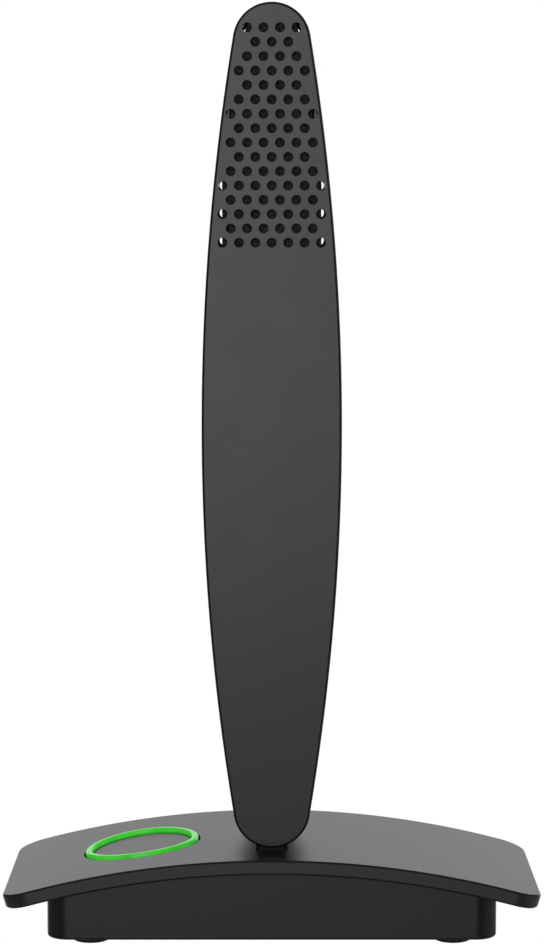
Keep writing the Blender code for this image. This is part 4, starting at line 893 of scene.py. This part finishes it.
def foam_outline(bottom, top, wall_space, notched):
    """Points in (x, z) round a foam pad. A notched pad keeps clear of the shell's tongues."""
    heights = [bottom + (top - bottom) * i / FOAM_STEPS for i in range(FOAM_STEPS + 1)]
    side = [(foam_reach(z, top, wall_space), z) for z in heights]
    if notched:
        low = RIB_Z - RIB_HEIGHT / 2 - TOUCH_GAP
        high = RIB_Z + RIB_HEIGHT / 2 + TOUCH_GAP
        notch = rib_inner_x() - TOUCH_GAP
        below = [point for point in side if point[1] < low]
        above = [point for point in side if point[1] > high]
        below += [(foam_reach(low, top, wall_space), low), (notch, low)]
        side = below + [(notch, high), (foam_reach(high, top, wall_space), high)] + above
    return side + [(-x, z) for x, z in reversed(side)]


def make_foam(node, wall_space, notched):
    """A foam pad with a porous surface."""
    low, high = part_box(node)
    outline = foam_outline(low.z, high.z, wall_space, notched)
    rings = [[(x, y, z) for x, z in outline] for y in (low.y, high.y)]
    pad = solid(lofted(rings), "foam")
    remesh = pad.modifiers.new("remesh", "REMESH")
    remesh.mode = "VOXEL"
    remesh.voxel_size = FOAM_VOXEL
    pores = bpy.data.textures.new(node + "_pores", "VORONOI")
    pores.noise_scale = FOAM_PORE
    sink = pad.modifiers.new("pores", "DISPLACE")
    sink.texture = pores
    sink.texture_coords = "LOCAL"
    sink.strength = FOAM_DEPTH
    sink.mid_level = 1.0
    bake(pad)
    pad.data.shade_smooth()
    finished(node.replace("acoustic", "open_cell"), pad, "black_foam", FOAM, BASE, node)


# Neck

def make_neck():
    """The neck block with rounded edges, its foot and its bore."""
    low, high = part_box("neck_block")
    half, foot_half = NECK_WIDTH / 2, (high.x - low.x) / 2
    front, back = FRONT_LOW.y + SHELL_FACE + TOUCH_GAP, REAR_HIGH.y - SHELL_FACE - TOUCH_GAP
    foot_top = low.z + NECK_FOOT_THICKNESS
    neck = solid(box((-half, front, low.z), (half, back, high.z)), "neck")
    round_edges(neck, NECK_EDGE, EDGE_STEPS)
    foot = solid(box((-foot_half, low.y, low.z), (foot_half, high.y, foot_top)), "foot")
    round_edges(foot, NECK_EDGE, FINE_EDGE_STEPS)
    bm = bmesh.new()
    bm.from_mesh(foot.data)
    bpy.data.objects.remove(foot)
    combine(neck, bm, "UNION")
    bore_y = front + NECK_BORE_FRONT
    start, end = (0, bore_y, low.z - CUT_OVERRUN), (0, bore_y, high.z + CUT_OVERRUN)
    combine(neck, rod(start, end, NECK_BORE_RADIUS), "DIFFERENCE")
    # The neck's darker plastic carries painted shade.
    shade(finished("neck", neck, "black_shell", NECK_SHADED_PLASTIC, BASE, "neck_block"))


# Base

def bent(bm):
    """Bends a flat solid, whose top face lies at Z 0, to the plate's arch."""
    for vertex in bm.verts:
        turn = vertex.co.x / PLATE_RADIUS
        reach = PLATE_RADIUS + vertex.co.z
        y = vertex.co.y
        vertex.co = (reach * math.sin(turn), y, ARCH_CENTRE_Z + reach * math.cos(turn))
    return bm


def make_plate():
    """The arched plate with chamfered edges, the button's opening and the neck's slot."""
    span, depth = PLATE_HIGH.x - PLATE_LOW.x, PLATE_HIGH.y - PLATE_LOW.y
    length = 2 * math.asin(span / 2 / PLATE_RADIUS) * PLATE_RADIUS
    edge = chamfer(PLATE_CHAMFER, CHAMFER_ROUNDING)
    steps = [(inset, -drop) for inset, drop in edge]
    steps += [(inset, drop - PLATE_THICKNESS) for inset, drop in reversed(edge)]
    rings = [
        [(x, y, z) for x, y in rounded_rectangle(length, depth, PLATE_CORNER, inset)]
        for inset, z in steps
    ]
    bm = lofted(rings)
    for i in range(1, ARCH_STEPS):
        x = length * (i / ARCH_STEPS - 1 / 2)
        everything = bm.verts[:] + bm.edges[:] + bm.faces[:]
        bmesh.ops.bisect_plane(
            bm, geom=everything, dist=MERGE_DISTANCE, plane_co=(x, 0, 0), plane_no=(1, 0, 0)
        )
    plate = solid(bent(bm), "plate")

    pillars = []
    for node in FEET:
        low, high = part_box(node)
        x, y = (low.x + high.x) / 2, (low.y + high.y) / 2
        top = ARCH_CENTRE_Z + math.sqrt(PLATE_RADIUS**2 - x**2) - PLATE_THICKNESS
        pillars.append(rod((x, y, PLATE_LOW.z), (x, y, top), PILLAR_RADIUS))
    combine(plate, joined(pillars), "UNION")

    half = NECK_WIDTH / 2 + TOUCH_GAP
    front = FRONT_LOW.y + SHELL_FACE
    back = REAR_HIGH.y - SHELL_FACE
    slot = box((-half, front, PLATE_LOW.z), (half, back, CROWN_HEIGHT + CUT_OVERRUN))
    start, end = (0, 0, FLANGE_TOP), (0, 0, RING_STAND)
    opening = rod(start, end, RING_OUTER_RADIUS + RING_GROOVE, RING_SIDES)
    combine(plate, joined([slot, moved(opening, button_frame())]), "DIFFERENCE")
    shade(finished("arched_plate", plate, "black_plate", PLATE, BASE, "base_plate"))


def arch_block(radius):
    """A block under an arch of this radius, wider and deeper than the tray."""
    reach = TRAY_HIGH.x + CUT_OVERRUN
    turn = math.asin(reach / radius)
    bottom = TRAY_LOW.z - CUT_OVERRUN
    outline = [(-reach, bottom), (reach, bottom)]
    for i in range(ARCH_STEPS + 1):
        t = turn * (1 - 2 * i / ARCH_STEPS)
        outline.append((radius * math.sin(t), ARCH_CENTRE_Z + radius * math.cos(t)))
    ends = (TRAY_LOW.y - CUT_OVERRUN, TRAY_HIGH.y + CUT_OVERRUN)
    return lofted([[(x, y, z) for x, z in outline] for y in ends])


def make_tray():
    """The lower housing under the arch, with the port and the foot recesses."""
    width, depth = TRAY_HIGH.x - TRAY_LOW.x, TRAY_HIGH.y - TRAY_LOW.y
    steps = [(inset, TRAY_LOW.z + drop) for inset, drop in quarter(TRAY_EDGE)]
    steps.append((0, CROWN_HEIGHT))
    rings = [
        [(x, y, z) for x, y in rounded_rectangle(width, depth, TRAY_CORNER, inset)]
        for inset, z in steps
    ]
    tray = solid(lofted(rings), "tray")
    combine(tray, arch_block(UNDER_RADIUS - TOUCH_GAP), "INTERSECT")
    inner = rounded_rectangle(width, depth, TRAY_CORNER, TRAY_WALL)
    floor = TRAY_LOW.z + TRAY_FLOOR
    cavity = lofted([[(x, y, z) for x, y in inner] for z in (floor, CROWN_HEIGHT + CUT_OVERRUN)])
    combine(tray, cavity, "DIFFERENCE")

    cutters = []
    for node in FEET:
        low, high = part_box(node)
        x, y = (low.x + high.x) / 2, (low.y + high.y) / 2
        radius = (high.x - low.x) / 2 + TOUCH_GAP
        cutter = flared_cutter(radius, FOOT_RECESS, RECESS_EDGE, ROUND_SIDES)
        cutters.append(moved(cutter, Matrix.Translation((x, y, TRAY_LOW.z)) @ toward((0, 0, -1))))
    combine(tray, joined(cutters), "DIFFERENCE")
    combine(tray, port_cutter(), "DIFFERENCE")
    shade(finished("tray", tray, "black_tray", TRAY, BASE, "base_tray"))


def port_cutter():
    """Cuts the round-ended USB port through the tray's back wall and rounds its rim."""
    low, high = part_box("usb_socket")
    width = high.x - low.x + 2 * PORT_MARGIN
    height = high.z - low.z + 2 * PORT_MARGIN
    middle = (low.z + high.z) / 2
    steps = [(-PORT_EDGE, TRAY_HIGH.y + CUT_OVERRUN)]
    steps += [(-inset, TRAY_HIGH.y - drop) for inset, drop in quarter(PORT_EDGE)]
    steps += [(0, TRAY_HIGH.y - TRAY_WALL - CUT_OVERRUN)]
    rings = []
    for inset, y in steps:
        points = rounded_rectangle(width, height, height / 2, inset)
        rings.append([(x, y, middle + z) for x, z in points])
    return lofted(rings)


def make_foot(node):
    """A rubber foot with a rounded lower edge and a shallow grip groove."""
    low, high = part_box(node)
    radius = (high.x - low.x) / 2
    edge = quarter(FOOT_EDGE, FOOT_EDGE_STEPS)
    rim = [(radius - inset, low.z + drop) for inset, drop in edge]
    profile = [(radius * GROOVE_SHARE, low.z + GROOVE_DEPTH)]
    profile += [(radius * GROOVE_SHARE + GROOVE_DEPTH, low.z)] + rim + [(radius, high.z)]
    place = Matrix.Translation(((low.x + high.x) / 2, (low.y + high.y) / 2, 0))
    foot = solid(moved(turned(profile, FOOT_SIDES), place), node)
    shade(finished(node + "_moulded", foot, "black_rubber", RUBBER, BASE, node))


def make_socket():
    """The USB-C socket's drawn shell."""
    low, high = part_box("usb_socket")
    width, height = high.x - low.x, high.z - low.z
    middle = (low.z + high.z) / 2
    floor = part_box("usb_tongue")[0].y - TOUCH_GAP
    steps = [(0, low.y), (0, high.y - SOCKET_LIP), (SOCKET_LIP, high.y)]
    steps += [(SOCKET_SHELL - SOCKET_LIP, high.y), (SOCKET_SHELL, high.y - SOCKET_LIP)]
    steps += [(SOCKET_SHELL, floor)]
    rings = []
    for inset, y in steps:
        points = rounded_rectangle(width, height, height / 2 - SOCKET_SHELL / 2, inset)
        rings.append([(x, y, middle + z) for x, z in points])
    socket = solid(lofted(rings), "socket")
    shade(finished("usb_shell", socket, "steel", STEEL, BASE, "usb_socket"))


def make_tongue():
    """The tongue inside the socket."""
    low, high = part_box("usb_tongue")
    tongue = solid(box(low, high), "tongue")
    round_edges(tongue, (high.z - low.z) * TONGUE_EDGE_SHARE, FINE_EDGE_STEPS)
    shade(finished("usb_tongue_moulded", tongue, "chip", CHIP, BASE, "usb_tongue"))


def make_contacts():
    """The gold contacts on both sides of the tongue."""
    low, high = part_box("usb_tongue")
    contacts = []
    for side, face in ((-1, low.z), (1, high.z)):
        for i in range(CONTACT_COUNT):
            x = (i - (CONTACT_COUNT - 1) / 2) * CONTACT_PITCH
            ends = sorted((face, face + side * CONTACT_HEIGHT))
            start = (x - CONTACT_WIDTH / 2, low.y, ends[0])
            end = (x + CONTACT_WIDTH / 2, high.y - CONTACT_PITCH, ends[1])
            contacts.append(box(start, end))
    strips = solid(joined(contacts), "contacts")
    finished("usb_contacts", strips, "steel", GOLD, BASE)


# Mute button

def arched(bm, lowest):
    """Lets what lies above a height in the button's frame follow the plate's arch."""
    for vertex in bm.verts:
        if vertex.co.z > lowest:
            vertex.co.z -= PLATE_RADIUS - math.sqrt(PLATE_RADIUS**2 - vertex.co.x**2)
    return bm


def make_ring():
    """The light ring: a band with a flat top and round edges over a flange under the plate."""
    ledge = RING_INNER_RADIUS - RING_LEDGE
    bottom = FLANGE_TOP - FLANGE_THICKNESS
    edge = quarter(RING_EDGE, RING_EDGE_STEPS)
    band = [(RING_INNER_RADIUS + inset, RING_STAND - drop) for inset, drop in reversed(edge)]
    band += [(RING_OUTER_RADIUS - inset, RING_STAND - drop) for inset, drop in edge]
    profile = band + [
        (RING_OUTER_RADIUS, FLANGE_TOP),
        (FLANGE_RADIUS, FLANGE_TOP),
        (FLANGE_RADIUS, bottom),
        (ledge, bottom),
        (ledge, FLANGE_TOP),
        (RING_INNER_RADIUS, FLANGE_TOP),
    ]
    bm = arched(turned(profile, RING_SIDES, closed=True), FLANGE_TOP + MERGE_DISTANCE)
    ring = solid(moved(bm, button_frame()), "ring")
    ring.visible_glossy = False
    shade(finished("green_ring", ring, "green_light", GREEN, BUTTON, "light_ring"))


def make_cap():
    """The button's cap with a fine rounded edge and a skirt that rests on the ring's ledge."""
    rim = RING_INNER_RADIUS - TOUCH_GAP
    skirt = FLANGE_TOP + TOUCH_GAP
    under = -CAP_SINK - CAP_THICKNESS
    face = rim - CAP_EDGE
    profile = [(face * i / CAP_FACE_STEPS, -CAP_SINK) for i in range(1, CAP_FACE_STEPS)]
    profile += [(rim - inset, -CAP_SINK - drop) for inset, drop in quarter(CAP_EDGE)]
    profile += [(rim, skirt), (rim - CAP_SKIRT, skirt), (rim - CAP_SKIRT, under)]
    profile += [(CAP_PIN_RADIUS, under), (CAP_PIN_RADIUS, CAP_PIN_BOTTOM)]
    bm = arched(turned(profile, RING_SIDES), -CAP_SINK - CAP_EDGE - MERGE_DISTANCE)
    cap = solid(moved(bm, button_frame()), "cap")
    shade(finished("mute_cap", cap, "black_plate", PLATE, BUTTON, "button_cap"))


# Studio

def area_light(name, place, target, size, radiance):
    """A soft rectangular light of this radiance that looks at a point."""
    data = bpy.data.lights.new(name, "AREA")
    data.shape = "RECTANGLE"
    data.size, data.size_y = size
    data.energy = radiance * math.pi * size[0] * size[1]
    light = new_object(name, data)
    light.location = place
    light.rotation_euler = (Vector(target) - Vector(place)).to_track_quat("-Z", "Y").to_euler()
    light.visible_camera = False


def make_floor():
    """A pale floor, white as a paper sweep is, that throws no light back on the object."""
    bm = bmesh.new()
    bmesh.ops.create_grid(bm, x_segments=1, y_segments=1, size=FLOOR_REACH)
    floor = solid(bm, "floor")
    material = bpy.data.materials.new("pale_floor")
    material.use_nodes = True
    tree = material.node_tree
    tree.nodes.clear()
    output = tree.nodes.new("ShaderNodeOutputMaterial")
    glow = tree.nodes.new("ShaderNodeEmission")
    tree.links.new(glow.outputs[0], output.inputs["Surface"])
    floor.data.materials.append(material)
    floor.visible_diffuse = False
    floor.visible_glossy = False
    floor.visible_transmission = False
    floor.visible_shadow = False


def make_room():
    """A dim room that the camera sees as white."""
    world = bpy.data.worlds.new("studio")
    bpy.context.scene.world = world
    world.use_nodes = True
    tree = world.node_tree
    tree.nodes.clear()
    output = tree.nodes.new("ShaderNodeOutputWorld")
    mix = tree.nodes.new("ShaderNodeMixShader")
    path = tree.nodes.new("ShaderNodeLightPath")
    room = tree.nodes.new("ShaderNodeBackground")
    backdrop = tree.nodes.new("ShaderNodeBackground")
    room.inputs["Color"].default_value = (1, 1, 1, 1)
    room.inputs["Strength"].default_value = ROOM_RADIANCE
    backdrop.inputs["Color"].default_value = (1, 1, 1, 1)
    tree.links.new(path.outputs["Is Camera Ray"], mix.inputs["Fac"])
    tree.links.new(room.outputs[0], mix.inputs[1])
    tree.links.new(backdrop.outputs[0], mix.inputs[2])
    tree.links.new(mix.outputs[0], output.inputs["Surface"])


def make_lights():
    """A bright backdrop, soft lights in front and at the side, and what a pale floor sends back."""
    area_light("backdrop_light", *BACK_PANEL, BACK_RADIANCE)
    area_light("front_light", *FRONT_PANEL, FRONT_RADIANCE)
    area_light("floor_bounce_front", *LOW_FRONT_PANEL, LOW_FRONT_RADIANCE)
    middle = (0, 0, LOW_SIDE_HEIGHT)
    right = (LOW_SIDE_REACH, 0, LOW_SIDE_HEIGHT)
    left = (-LOW_SIDE_REACH, 0, LOW_SIDE_HEIGHT)
    back = (0, LOW_SIDE_REACH, LOW_SIDE_HEIGHT)
    area_light("floor_bounce_right", right, middle, LOW_SIDE_SIZE, LOW_RIGHT_RADIANCE)
    area_light("floor_bounce_left", left, middle, LOW_SIDE_SIZE, LOW_LEFT_RADIANCE)
    area_light("floor_bounce_back", back, middle, LOW_SIDE_SIZE, LOW_BACK_RADIANCE)
    area_light("side_fill", *SIDE_PANEL, SIDE_RADIANCE)


def make_camera():
    """The photograph's view."""
    data = bpy.data.cameras.new("camera")
    data.lens = CAMERA_LENS_MM
    data.clip_start = CAMERA_NEAR
    camera = new_object("camera", data)
    camera.location = CAMERA_PLACE
    camera.rotation_euler = (math.radians(CAMERA_TURN_DEGREES), 0, 0)
    bpy.context.scene.camera = camera


make_camera()
make_floor()
make_room()
make_lights()
bpy.context.scene.view_settings.view_transform = "Standard"
dress_nodes()
make_front_shell()
make_rear_shell()
for screw in SHELL_SCREWS:
    make_screw(screw, SHELL_SCREW_HEAD)
for screw in NECK_SCREWS:
    make_screw(screw, NECK_SCREW_HEAD)
make_foam("front_acoustic_foam", FOAM_WALL_SPACE, True)
make_foam("rear_acoustic_foam", TOUCH_GAP, False)
make_neck()
make_plate()
make_tray()
for foot in FEET:
    make_foot(foot)
make_socket()
make_tongue()
make_contacts()
make_ring()
make_cap()
